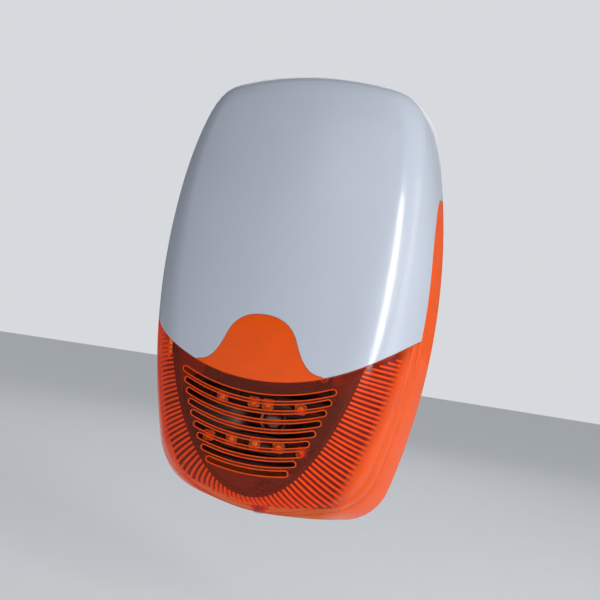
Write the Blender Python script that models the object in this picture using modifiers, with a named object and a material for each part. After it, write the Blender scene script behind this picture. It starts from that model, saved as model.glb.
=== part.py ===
"""Wall-mounted alarm siren with strobe: a white cover and an amber lens that swing up together on two
hinge pins, over a wall base that carries the battery, the main board, the horn and the strobe LEDs.

Frame: metres. The back of the base lies on the plane y = 0, the front faces -Y, +Z is up and +X is to
the right of someone who looks at the front. The origin is the centre of the base's back face.
"""

import math

import bmesh
import bpy
import numpy as np
from mathutils import Matrix, Vector
from mathutils.geometry import interpolate_bezier

# Outline of the cover's rim, seen from the front: four big arcs and four corner arcs.
HALF_WIDTH = 0.093
HALF_HEIGHT = 0.145
SIDE_BOW = 0.0251
END_BOW = 0.0187
CORNER_RADIUS = 0.033

# The cover's depth. The rim stands a little off the wall, so that the cover can swing without touching it.
RIM_GAP = 0.0032
CROWN_DEPTH = 0.0686
DEPTH_TILT = 0.0047
DEPTH_FALL = 0.0223
CROSS_RADIUS = 0.250
WALL = 0.0025

# Edge of the front face, a long ellipse that the outline cuts off at the top.
FACE_HALF_WIDTH = 0.071
FACE_HALF_HEIGHT = 0.182
FACE_CENTRE_Z = 0.055
FACE_INSET = 0.009
FACE_BLEND = 0.012
SKIRT_FLARE = 0.7
SKIRT_LIFT = 0.2
FILLET_TIP = 0.004
FILLET_TOP = 0.014

# Seam between the white cover and the lens.
SMILE_RADIUS = 0.120
SMILE_LOW_Z = -0.059
TONGUE_TOP_Z = -0.0206
TONGUE_HALF_WIDTH = 0.0215
TONGUE_SIDE_Z = -0.034
LOBE_X = 0.040
LOBE_Z = -0.0513
ARM_DEPTH = 0.022
ARM_TOP_Z = 0.072
ARM_TAPER_Z = 0.028
SEAM_GAP = 0.0003
LEDGE_DEPTH = 0.0030
LEDGE_THICKNESS = 0.0018
LEDGE_OVERLAP = 0.004
LEDGE_HALF_WIDTH = 0.035
# The boss on the back of the tongue that passes through the ledge and takes its screw.
TONGUE_BOSS_Z = -0.0353
TONGUE_BOSS_RADIUS = 0.0038
TONGUE_BOSS_DEPTH = 0.0052

# Sound slots in the lens.
SLOT_COUNT = 9
SLOT_PITCH = 0.0055
SLOT_HEIGHT = 0.0028
SLOT_FIRST_Z = -0.0682
SLOT_END_INSET = 0.0075

# Wall base.
PLATE = 0.003
TRAY_HEIGHT = 0.009
TRAY_INSET = 0.0080
TRAY_WALL = 0.002
TRAY_TOP_Z = 0.1235
TRAY_TOP_RADIUS = 0.280
FIXING_X = 0.066
FIXING_Z = 0.102
FIXING_RADIUS = 0.0025
ENTRY_Z = -0.045
ENTRY_RADIUS = 0.008
CABLE_RADIUS = 0.0042

# Hinge of the cover.
HINGE_Y = -0.0225
HINGE_Z = 0.1335
HINGE_X = 0.024
PIN_RADIUS = 0.0015
PIN_LENGTH = 0.0205
KNUCKLE_RADIUS = 0.0030
KNUCKLE_WIDTH = 0.0085
EAR_WIDTH = 0.003
EAR_OFFSET = 0.0072
RUNNING_GAP = 0.0003

# Cover screw under the lens.
SCREW_Y = -0.020
SCREW_RADIUS = 0.002
SCREW_HEAD_RADIUS = 0.0036
SCREW_BOTTOM_Z = -0.1428
SCREW_TOP_Z = -0.1215
LUG_LOW_Z = -0.1310
LUG_HIGH_Z = -0.1275

# Battery.
BATTERY_WIDTH = 0.097
BATTERY_DEPTH = 0.043
BATTERY_HEIGHT = 0.052
BATTERY_LOW_Z = 0.0445
STRAP_Z = 0.0725
STRAP_SCREW_X = 0.0575

# Main board.
BOARD_HALF_WIDTH = 0.056
BOARD_LOW_Z = -0.030
BOARD_HIGH_Z = 0.034
BOARD_BACK_Y = -0.009
BOARD_THICKNESS = 0.0016
BOARD_SCREW_X = 0.050
BOARD_SCREW_LOW_Z = -0.024
BOARD_SCREW_HIGH_Z = 0.028

# Horn and its driver.
HORN_MOUTH_Y = -0.048
HORN_THROAT_Y = -0.0242
HORN_AXIS_Z = -0.084
HORN_TOP_Z = -0.062
HORN_BOTTOM_Z = -0.108
HORN_TOP_HALF = 0.0545
HORN_BOTTOM_HALF = 0.040
HORN_THROAT_RADIUS = 0.012
HORN_WALL = 0.0016
HORN_LIP = 0.0035
HORN_POST_X = 0.036
HORN_POST_Z = -0.0525

# Strobe LEDs on their two boards.
STRIP_HEIGHT = 0.011
STRIP_UPPER_Z = -0.0725
STRIP_LOWER_Z = -0.0970
STRIP_UPPER_HALF = 0.0525
STRIP_LOWER_HALF = 0.0450
LED_SIZE = 0.0065
LED_HEIGHT = 0.0030
LEDS_UPPER_X = (-0.025, -0.0045, 0.0045, 0.025)
LEDS_LOWER_X = (-0.030, -0.015, 0.0, 0.015, 0.030)

# Tamper switch.
TAMPER_Z = 0.112
TAMPER_FACE_Y = -0.030
TAMPER_RADIUS = 0.0025
TAMPER_TIP_Y = -0.0355
TAMPER_POST_GAP = 0.0004

GAP = 0.0003
ROUND = 20
SMALL_ROUND = 10
WIRE_STEPS = 3
OUTLINE_STEPS = 56


# ---------------------------------------------------------------- scene, materials, small helpers


def clear_scene():
    for obj in list(bpy.data.objects):
        bpy.data.objects.remove(obj, do_unlink=True)


def new_collection(name, hidden):
    collection = bpy.data.collections.new(name)
    bpy.context.scene.collection.children.link(collection)
    collection.hide_render = hidden
    return collection


def new_material(name, colour, roughness, metallic=0.0):
    material = bpy.data.materials.new(name)
    material.use_nodes = True
    shader = material.node_tree.nodes["Principled BSDF"]
    shader.inputs["Base Color"].default_value = (*colour, 1.0)
    shader.inputs["Roughness"].default_value = roughness
    shader.inputs["Metallic"].default_value = metallic
    return material


clear_scene()
PARTS = new_collection("alarm_siren", hidden=False)
CUTTERS = new_collection("cutters", hidden=True)

WHITE_PLASTIC = new_material("white_plastic", (0.62, 0.68, 0.76), 0.25)
AMBER_PLASTIC = new_material("amber_plastic", (0.80, 0.16, 0.02), 0.15)
BASE_PLASTIC = new_material("base_plastic", (0.70, 0.71, 0.70), 0.45)
BLACK_PLASTIC = new_material("black_plastic", (0.02, 0.02, 0.022), 0.40)
GREY_PLASTIC = new_material("grey_plastic", (0.12, 0.13, 0.14), 0.45)
GREEN_PLASTIC = new_material("green_plastic", (0.03, 0.28, 0.10), 0.40)
RELAY_PLASTIC = new_material("relay_plastic", (0.04, 0.13, 0.42), 0.35)
BOARD_RESIN = new_material("board_resin", (0.02, 0.16, 0.07), 0.35)
BLACK_RESIN = new_material("black_resin", (0.015, 0.017, 0.02), 0.40)
LED_RESIN = new_material("led_resin", (0.95, 0.45, 0.08), 0.20)
STEEL = new_material("steel", (0.60, 0.60, 0.58), 0.30, metallic=1.0)
BRASS = new_material("brass", (0.72, 0.52, 0.22), 0.30, metallic=1.0)
ALUMINIUM = new_material("aluminium", (0.75, 0.75, 0.77), 0.35, metallic=1.0)
RUBBER = new_material("rubber", (0.03, 0.03, 0.03), 0.80)
RED_WIRE = new_material("red_wire", (0.60, 0.03, 0.02), 0.50)
BLACK_WIRE = new_material("black_wire", (0.02, 0.02, 0.02), 0.50)


def new_object(name, mesh, material, collection=None):
    collection = collection or PARTS
    obj = bpy.data.objects.new(name, mesh)
    collection.objects.link(obj)
    if material:
        mesh.materials.append(material)
    if collection is CUTTERS:
        obj.hide_render = True
        obj.display_type = "WIRE"
    return obj


def mesh_object(name, bm, material, collection=None):
    bmesh.ops.recalc_face_normals(bm, faces=bm.faces[:])
    mesh = bpy.data.meshes.new(name)
    bm.to_mesh(mesh)
    bm.free()
    return new_object(name, mesh, material, collection)


def smooth(obj, angle=35.0):
    obj.data.shade_smooth()
    obj.data.set_sharp_from_angle(angle=math.radians(angle))
    return obj


def boolean(obj, other, operation, solver="EXACT"):
    modifier = obj.modifiers.new(f"{operation.lower()}_{other.name}", "BOOLEAN")
    modifier.operation = operation
    modifier.solver = solver
    modifier.object = other
    return obj


def box(name, low, high, material=None, bevel=0.0, segments=1, collection=None):
    low, high = Vector(low), Vector(high)
    bm = bmesh.new()
    bmesh.ops.create_cube(bm, size=1.0)
    bmesh.ops.scale(bm, vec=high - low, verts=bm.verts)
    bmesh.ops.translate(bm, vec=(low + high) / 2, verts=bm.verts)
    obj = mesh_object(name, bm, material, collection)
    if bevel:
        modifier = obj.modifiers.new("bevel", "BEVEL")
        modifier.width = bevel
        modifier.segments = segments
    return obj


def turn_to(axis):
    """The turn that takes +Z to the axis."""
    return Vector((0, 0, 1)).rotation_difference(Vector(axis)).to_matrix().to_4x4()


def cylinder(name, start, axis, radius, length, material=None, collection=None, steps=None):
    if steps is None:
        steps = ROUND if radius > 0.003 else SMALL_ROUND
    bm = bmesh.new()
    bmesh.ops.create_cone(bm, cap_ends=True, segments=steps, radius1=radius, radius2=radius, depth=length)
    bmesh.ops.translate(bm, vec=(0, 0, length / 2), verts=bm.verts)
    spin = Matrix.Rotation(0.1, 4, "Z")
    bmesh.ops.transform(bm, matrix=Matrix.Translation(start) @ turn_to(axis) @ spin, verts=bm.verts)
    return smooth(mesh_object(name, bm, material, collection))


def cutter(name, start, axis, radius, length, steps=None):
    """A cylinder that takes part in Booleans only."""
    return cylinder(name, start, axis, radius, length, collection=CUTTERS, steps=steps)


def turned(name, profile, start, axis, material, collection=None, steps=ROUND):
    """A profile of (radius, height) points, from the top down its outer side, turned about the axis."""
    bm = bmesh.new()
    verts = [bm.verts.new((radius, 0, height)) for radius, height in profile]
    for first, second in zip(verts, verts[1:]):
        bm.edges.new((first, second))
    mesh = bpy.data.meshes.new(name)
    bm.to_mesh(mesh)
    bm.free()
    obj = new_object(name, mesh, material, collection)
    obj.matrix_world = Matrix.Translation(start) @ turn_to(axis)
    screw = obj.modifiers.new("turn", "SCREW")
    screw.axis = "Z"
    screw.steps = steps
    screw.render_steps = steps
    screw.use_merge_vertices = True
    screw.merge_threshold = 0.00001
    screw.use_smooth_shade = False
    return obj


def prism(name, outline, axis, low, high, material=None, collection=None, others=()):
    """Flat outlines swept along an axis. Along Y an outline is (x, z), and along X it is (y, z)."""
    place = {
        "X": lambda a, b: (low, a, b),
        "Y": lambda a, b: (a, low, b),
        "Z": lambda a, b: (a, b, low),
    }[axis]
    sweep = Vector([high - low if letter == axis else 0.0 for letter in "XYZ"])
    bm = bmesh.new()
    faces = [bm.faces.new([bm.verts.new(place(a, b)) for a, b in flat]) for flat in (outline, *others)]
    swept = bmesh.ops.extrude_face_region(bm, geom=faces)
    moved = [item for item in swept["geom"] if isinstance(item, bmesh.types.BMVert)]
    bmesh.ops.translate(bm, vec=sweep, verts=moved)
    return mesh_object(name, bm, material, collection)


def wire(name, points, radius, material):
    """A wire on one smooth curve through the points of its route."""
    route = [Vector(point) for point in points]
    fine = []
    for index in range(len(route) - 1):
        before = route[max(index - 1, 0)]
        start, end = route[index], route[index + 1]
        after = route[min(index + 2, len(route) - 1)]
        lead_in = start + (end - before) / 6
        lead_out = end - (after - start) / 6
        fine += interpolate_bezier(start, lead_in, lead_out, end, WIRE_STEPS + 1)[:-1]
    fine.append(route[-1])
    curve = bpy.data.curves.new(name, "CURVE")
    curve.dimensions = "3D"
    curve.bevel_depth = radius
    curve.bevel_resolution = 2
    curve.use_fill_caps = True
    spline = curve.splines.new("POLY")
    spline.points.add(len(fine) - 1)
    for target, point in zip(spline.points, fine):
        target.co = (*point, 1.0)
    obj = bpy.data.objects.new(name, curve)
    PARTS.objects.link(obj)
    curve.materials.append(material)
    return obj


# ---------------------------------------------------------------- the cover's outer surface


def corner_circle():
    """Centres and radii of the side, end and corner arcs in the first quadrant of the rim's outline."""
    side_radius = (HALF_HEIGHT**2 + SIDE_BOW**2) / (2 * SIDE_BOW)
    end_radius = (HALF_WIDTH**2 + END_BOW**2) / (2 * END_BOW)
    side_centre = np.array((HALF_WIDTH - side_radius, 0.0))
    end_centre = np.array((0.0, HALF_HEIGHT - end_radius))
    to_side, to_end = side_radius - CORNER_RADIUS, end_radius - CORNER_RADIUS
    across = end_centre - side_centre
    distance = np.linalg.norm(across)
    along = (to_side**2 - to_end**2 + distance**2) / (2 * distance)
    off = math.sqrt(to_side**2 - along**2)
    unit = across / distance
    centre = side_centre + unit * along + np.array((-unit[1], unit[0])) * off
    return (side_centre, side_radius), (end_centre, end_radius), (centre, CORNER_RADIUS)


SIDE_ARC, END_ARC, CORNER_ARC = corner_circle()


def arc_angle(arc):
    """Angle from +Z at which an arc meets the corner arc."""
    towards = CORNER_ARC[0] - arc[0]
    touch = arc[0] + towards / np.linalg.norm(towards) * arc[1]
    return math.atan2(touch[0], touch[1])


SIDE_ANGLE, END_ANGLE = arc_angle(SIDE_ARC), arc_angle(END_ARC)


def rim_radius(angle, inset=0.0):
    """Distance from the centre to the rim's outline. The angle starts at +Z and turns towards +X."""
    ray = np.array((abs(math.sin(angle)), abs(math.cos(angle))))
    folded = math.atan2(ray[0], ray[1])
    arc = SIDE_ARC if folded > SIDE_ANGLE else END_ARC if folded < END_ANGLE else CORNER_ARC
    centre, radius = arc
    forward = ray @ centre
    return forward + math.sqrt(forward**2 - centre @ centre + (radius - inset) ** 2)


def face_radius(angle, inset=0.0):
    """Distance from the centre to the front face's edge: the ellipse, blended into the outline's inset."""
    sine, cosine = math.sin(angle), math.cos(angle)
    square = (sine / FACE_HALF_WIDTH) ** 2 + (cosine / FACE_HALF_HEIGHT) ** 2
    linear = -2 * cosine * FACE_CENTRE_Z / FACE_HALF_HEIGHT**2
    constant = (FACE_CENTRE_Z / FACE_HALF_HEIGHT) ** 2 - 1
    ellipse = (-linear + math.sqrt(linear**2 - 4 * square * constant)) / (2 * square)
    limit = rim_radius(angle) - FACE_INSET
    share = min(max(0.5 + 0.5 * (limit - ellipse) / FACE_BLEND, 0.0), 1.0)
    return limit * (1 - share) + ellipse * share - FACE_BLEND * share * (1 - share) - inset


def front_y(x, z, inset=0.0):
    """The crowned front face."""
    height = z / HALF_HEIGHT
    depth = CROWN_DEPTH - DEPTH_TILT * height - DEPTH_FALL * height**2 - x**2 / (2 * CROSS_RADIUS)
    return -(RIM_GAP + depth - inset)


def section(angle, rows, inset=0.0):
    """Points of the outer surface along one ray, from the centre over the face's edge to the rim."""
    face_rows, fillet_rows, skirt_rows = rows
    sine, cosine = math.sin(angle), math.cos(angle)
    rim = np.array((rim_radius(angle, inset), -RIM_GAP))
    edge_radius = face_radius(angle, inset)
    edge = np.array((edge_radius, front_y(edge_radius * sine, edge_radius * cosine, inset)))
    pull = edge + (rim - edge) * (SKIRT_FLARE, SKIRT_LIFT)
    rise = min(max((edge_radius * cosine + HALF_HEIGHT) / (2 * HALF_HEIGHT), 0.0), 1.0)
    fillet = FILLET_TIP + (FILLET_TOP - FILLET_TIP) * rise
    start_radius = edge_radius - fillet
    leave = min(0.45, fillet / (2 * np.linalg.norm(pull - edge)))

    def skirt(t):
        return (1 - t) ** 2 * edge + 2 * t * (1 - t) * pull + t**2 * rim

    points = []
    for row in range(face_rows + 1):
        radius = start_radius * row / face_rows
        points.append(np.array((radius, front_y(radius * sine, radius * cosine, inset))))
    start, end = points[-1], skirt(leave)
    for row in range(1, fillet_rows):
        t = row / fillet_rows
        points.append((1 - t) ** 2 * start + 2 * t * (1 - t) * edge + t**2 * end)
    for row in range(skirt_rows + 1):
        points.append(skirt(leave + (1 - leave) * row / skirt_rows))
    return [(radius * sine, depth, radius * cosine) for radius, depth in points]


def skin(name, thickness, inset, material, collection, steps=OUTLINE_STEPS, rows=(3, 3, 3)):
    """A shell of the cover's shape. Its outer side lies inset under the cover's outer surface."""
    rays = [section(2 * math.pi * step / steps, rows, inset) for step in range(steps)]
    bm = bmesh.new()
    centre = bm.verts.new(rays[0][0])
    grid = [[bm.verts.new(point) for point in ray[1:]] for ray in rays]
    for index, ray in enumerate(grid):
        following = grid[(index + 1) % steps]
        bm.faces.new((centre, following[0], ray[0]))
        for row in range(len(ray) - 1):
            bm.faces.new((ray[row], following[row], following[row + 1], ray[row + 1]))
    bm.normal_update()
    mesh = bpy.data.meshes.new(name)
    bm.to_mesh(mesh)
    bm.free()
    obj = new_object(name, mesh, material, collection)
    solidify = obj.modifiers.new("wall", "SOLIDIFY")
    solidify.thickness = thickness
    solidify.offset = -1.0
    return smooth(obj)


def core(name, inset, collection, steps=OUTLINE_STEPS, rows=(3, 3, 3)):
    """The solid under the cover's outer surface at a depth of inset, carried on behind the rim."""
    behind = 0.010
    rays = [section(2 * math.pi * step / steps, rows, inset) for step in range(steps)]
    bm = bmesh.new()
    centre = bm.verts.new(rays[0][0])
    grid = []
    for ray in rays:
        ring = [bm.verts.new(point) for point in ray[1:]]
        ring.append(bm.verts.new((ray[-1][0], behind, ray[-1][2])))
        grid.append(ring)
    for index, ray in enumerate(grid):
        following = grid[(index + 1) % steps]
        bm.faces.new((centre, following[0], ray[0]))
        for row in range(len(ray) - 1):
            bm.faces.new((ray[row], following[row], following[row + 1], ray[row + 1]))
    bm.faces.new([ray[-1] for ray in grid])
    return mesh_object(name, bm, None, collection)


# ---------------------------------------------------------------- seam between cover and lens


def smile_z(x, lift=0.0):
    """The arc that the seam and the slots follow, with its lowest point on the centre plane."""
    return SMILE_LOW_Z + lift + SMILE_RADIUS - math.sqrt(SMILE_RADIUS**2 - x**2)


def seam_half(steps=6):
    """The seam's right half: over the tongue, down its flank, round the white lobe and along the smile."""
    lobe_slope = LOBE_X / math.sqrt(SMILE_RADIUS**2 - LOBE_X**2)
    knots = (
        ((0, TONGUE_TOP_Z), (0.0125, TONGUE_TOP_Z), (0.0185, -0.0265), (TONGUE_HALF_WIDTH, TONGUE_SIDE_Z)),
        (
            (TONGUE_HALF_WIDTH, TONGUE_SIDE_Z),
            (0.0255, -0.0440),
            (LOBE_X - 0.010, LOBE_Z - 0.010 * lobe_slope + 0.0022),
            (LOBE_X, LOBE_Z),
        ),
    )
    points = []
    for knot in knots:
        handles = [Vector((x, z, 0)) for x, z in knot]
        points += [(p.x, p.y) for p in interpolate_bezier(*handles, steps)[:-1]]
    for step in range(9):
        x = LOBE_X + (0.104 - LOBE_X) * step / 8
        points.append((x, smile_z(x)))
    return points


def grown(outline, distance):
    """The open outline moved to its left side by a distance."""
    line = [Vector(point) for point in outline]
    moved = []
    for index, point in enumerate(line):
        along = line[min(index + 1, len(line) - 1)] - line[max(index - 1, 0)]
        along.normalize()
        moved.append((point.x - along.y * distance, point.y + along.x * distance))
    return moved


def seam(distance=0.0):
    right = seam_half()
    left = [(-x, z) for x, z in reversed(right[1:])]
    return grown(left + right, distance)


def arm_outline(distance=0.0):
    """Side view of the strip of lens that runs up the rim: (y, z) points, closed behind the wall."""
    front = -RIM_GAP - ARM_DEPTH
    top = [
        Vector((front, ARM_TAPER_Z, 0)),
        Vector((front, ARM_TAPER_Z + 0.020, 0)),
        Vector((front + 0.006, ARM_TOP_Z, 0)),
        Vector((-RIM_GAP - 0.004, ARM_TOP_Z, 0)),
    ]
    curve = [(p.x, p.y) for p in interpolate_bezier(*top, 8)]
    line = [(front, -0.080)] + curve + [(0.010, ARM_TOP_Z)]
    return grown(line, distance) + [(0.010, -0.080)]


def lens_zone(name, distance):
    """Everything that the lens takes from the shell, grown by a distance."""
    lower = seam(distance) + [(0.104, -0.170), (-0.104, -0.170)]
    zone = prism(name, lower, "Y", -0.100, 0.010, collection=CUTTERS)
    for side in (-1, 1):
        ends = sorted((side * 0.060, side * 0.110))
        arm = prism(f"{name}_arm_{side}", arm_outline(distance), "X", *ends, collection=CUTTERS)
        boolean(zone, arm, "UNION")
    return zone


def slot_half_length(z):
    """Half the length of a slot that ends at height z, just inside the front face's edge."""
    reach = 1 - ((z - FACE_CENTRE_Z) / FACE_HALF_HEIGHT) ** 2
    return FACE_HALF_WIDTH * math.sqrt(reach) - SLOT_END_INSET


def slot_outline(index):
    """A sound slot: a band along the smile arc with round ends."""
    lift = SLOT_FIRST_Z - SLOT_PITCH * index - SMILE_LOW_Z
    half = slot_half_length(SLOT_FIRST_Z - SLOT_PITCH * index + 0.004)
    radius = SLOT_HEIGHT / 2
    steps = 7
    across = [half * (2 * step / steps - 1) for step in range(steps + 1)]
    centre = [(x, smile_z(x, lift)) for x in across]
    upper = grown(centre, radius)
    lower = list(reversed(grown(centre, -radius)))
    tips = []
    for end, side in ((centre[-1], 1), (centre[0], -1)):
        slope = math.asin(end[0] / SMILE_RADIUS)
        tips.append((end[0] + side * radius * math.cos(slope), end[1] + side * radius * math.sin(slope)))
    return upper + [tips[0]] + lower + [tips[1]]


# ---------------------------------------------------------------- cover and lens


def ledge_block(name, grow):
    """The tongue's ledge seen from the front: the tongue with an overlap, down to the smile arc."""
    half = LEDGE_HALF_WIDTH + grow
    top = [point for point in seam(LEDGE_OVERLAP + grow) if abs(point[0]) <= half]
    low = [(half * (1 - step / 3), smile_z(half * (1 - step / 3), -grow)) for step in range(7)]
    return prism(name, top + low, "Y", -0.1, -0.02, collection=CUTTERS)


def make_top_cover():
    cover = skin("top_cover", WALL, 0.0, WHITE_PLASTIC, PARTS)
    ledge = ledge_block("tongue_ledge", 0.0)
    boolean(ledge, core("ledge_front", 0.001, CUTTERS), "INTERSECT")
    boolean(ledge, core("ledge_back", LEDGE_DEPTH + LEDGE_THICKNESS, CUTTERS), "DIFFERENCE")
    boolean(cover, ledge, "UNION", solver="MANIFOLD")
    kept = ledge_block("ledge_kept", 0.001)
    boolean(kept, core("ledge_middle", LEDGE_DEPTH, CUTTERS), "INTERSECT")
    space = lens_zone("lens_space", SEAM_GAP)
    boolean(space, kept, "DIFFERENCE")
    boolean(cover, space, "DIFFERENCE", solver="MANIFOLD")

    for side in (-1, 1):
        x = side * HINGE_X
        half = KNUCKLE_WIDTH / 2
        web_half = half - 0.0004
        web = box(
            f"knuckle_web_{side}",
            (x - web_half, HINGE_Y - 0.0022, HINGE_Z),
            (x + web_half, HINGE_Y + 0.0022, HINGE_Z + 0.0072),
            collection=CUTTERS,
        )
        start = (x - half, HINGE_Y, HINGE_Z)
        knuckle = cutter(f"knuckle_{side}", start, (1, 0, 0), KNUCKLE_RADIUS, KNUCKLE_WIDTH)
        bore_start = (x - KNUCKLE_WIDTH, HINGE_Y, HINGE_Z)
        bore_radius = PIN_RADIUS + RUNNING_GAP
        bore = cutter(f"knuckle_bore_{side}", bore_start, (1, 0, 0), bore_radius, 2 * KNUCKLE_WIDTH)
        boolean(cover, web, "UNION")
        boolean(cover, knuckle, "UNION")
        boolean(cover, bore, "DIFFERENCE")

    post_start = front_y(0, TAMPER_Z) + 0.0012
    post_tip = TAMPER_TIP_Y - TAMPER_POST_GAP
    post = cutter("tamper_post", (0, post_start, TAMPER_Z), (0, 1, 0), 0.0035, post_tip - post_start)
    boolean(cover, post, "UNION")

    hole_start = (0, front_y(0, TONGUE_BOSS_Z) + 0.0026, TONGUE_BOSS_Z)
    hole = cutter("ledge_hole", hole_start, (0, 1, 0), TONGUE_BOSS_RADIUS + 0.0004, 0.006)
    boolean(cover, hole, "DIFFERENCE")
    return cover


def make_lens():
    lens = skin("strobe_lens", WALL, 0.0, AMBER_PLASTIC, PARTS)
    boolean(lens, lens_zone("lens_zone", 0.0), "INTERSECT")
    tongue_y = front_y(0, TONGUE_BOSS_Z)
    boss_start = (0, tongue_y + 0.0016, TONGUE_BOSS_Z)
    boss_length = TONGUE_BOSS_DEPTH - 0.0016
    tongue_boss = cutter("tongue_boss", boss_start, (0, 1, 0), TONGUE_BOSS_RADIUS, boss_length)
    tongue_bore = cutter("tongue_bore", (0, tongue_y + 0.0015, TONGUE_BOSS_Z), (0, 1, 0), 0.0016, 0.010)
    boolean(lens, tongue_boss, "UNION")
    boolean(lens, tongue_bore, "DIFFERENCE")

    below = (0, SCREW_Y, -0.150)
    boss = cutter("screw_boss", (0, SCREW_Y, -0.1432), (0, 0, 1), 0.0060, 0.0092)
    bore = cutter("screw_bore", below, (0, 0, 1), SCREW_RADIUS + RUNNING_GAP, 0.030)
    head_space = cutter("screw_head_space", below, (0, 0, 1), SCREW_HEAD_RADIUS + 0.0005, 0.0105)
    boolean(lens, boss, "UNION")
    boolean(lens, bore, "DIFFERENCE")
    boolean(lens, head_space, "DIFFERENCE")

    slots = [slot_outline(index) for index in range(SLOT_COUNT)]
    openings = prism("sound_slots", slots[0], "Y", -0.085, -0.045, collection=CUTTERS, others=slots[1:])
    boolean(lens, openings, "DIFFERENCE")
    return lens


def screw(name, tip, axis, length, material=STEEL, radius=0.0015, head_radius=0.0029, head_height=0.0018):
    """A pan-head screw with a cross slot. The axis points from its tip to its head."""
    profile = (
        (0.0, length + head_height),
        (head_radius * 0.7, length + head_height),
        (head_radius, length + head_height * 0.4),
        (head_radius, length),
        (radius, length),
        (radius, 0.0),
        (0.0, 0.0),
    )
    obj = turned(name, profile, tip, axis, material, steps=SMALL_ROUND)
    place = Matrix.Translation(tip) @ turn_to(axis)
    long, short = head_radius * 0.60, head_radius * 0.12
    top = length + head_height
    for index, (half_x, half_y) in enumerate(((long, short), (short, long))):
        slot = box(
            f"{name}_slot_{index}",
            (-half_x, -half_y, top - head_height * 0.45),
            (half_x, half_y, top + head_height),
            collection=CUTTERS,
        )
        slot.data.transform(place)
        boolean(obj, slot, "DIFFERENCE")
    return obj


def make_cover_screw():
    profile = (
        (0.0, SCREW_TOP_Z - SCREW_BOTTOM_Z),
        (SCREW_RADIUS * 0.6, SCREW_TOP_Z - SCREW_BOTTOM_Z),
        (SCREW_RADIUS, SCREW_TOP_Z - SCREW_BOTTOM_Z - 0.001),
        (SCREW_RADIUS, 0.0026),
        (SCREW_HEAD_RADIUS, 0.0026),
        (SCREW_HEAD_RADIUS, 0.0006),
        (SCREW_HEAD_RADIUS - 0.0006, 0.0),
        (0.0, 0.0),
    )
    obj = turned("cover_screw", profile, (0, SCREW_Y, SCREW_BOTTOM_Z), (0, 0, 1), STEEL)
    socket = box(
        "cover_screw_slot",
        (-SCREW_HEAD_RADIUS, SCREW_Y - 0.0005, SCREW_BOTTOM_Z - 0.001),
        (SCREW_HEAD_RADIUS, SCREW_Y + 0.0005, SCREW_BOTTOM_Z + 0.0011),
        collection=CUTTERS,
    )
    return boolean(obj, socket, "DIFFERENCE")


def make_lock_nut():
    nut = cylinder("lock_nut", (0, SCREW_Y, LUG_HIGH_Z + GAP), (0, 0, 1), 0.0040, 0.0032, STEEL, steps=6)
    bore = cutter("lock_nut_bore", (0, SCREW_Y, LUG_HIGH_Z - 0.001), (0, 0, 1), SCREW_RADIUS + GAP, 0.008)
    return boolean(nut, bore, "DIFFERENCE")


# ---------------------------------------------------------------- wall base


def rim_outline(inset, steps=OUTLINE_STEPS):
    """The rim's outline, moved in, with a flatter top that the cover's rim swings past."""
    points = []
    for step in range(steps):
        angle = 2 * math.pi * (step + 0.5) / steps
        radius = rim_radius(angle, inset)
        x = radius * math.sin(angle)
        crown = TRAY_TOP_Z - inset + TRAY_INSET - x**2 / (2 * TRAY_TOP_RADIUS)
        points.append((x, min(radius * math.cos(angle), crown)))
    return points


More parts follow.
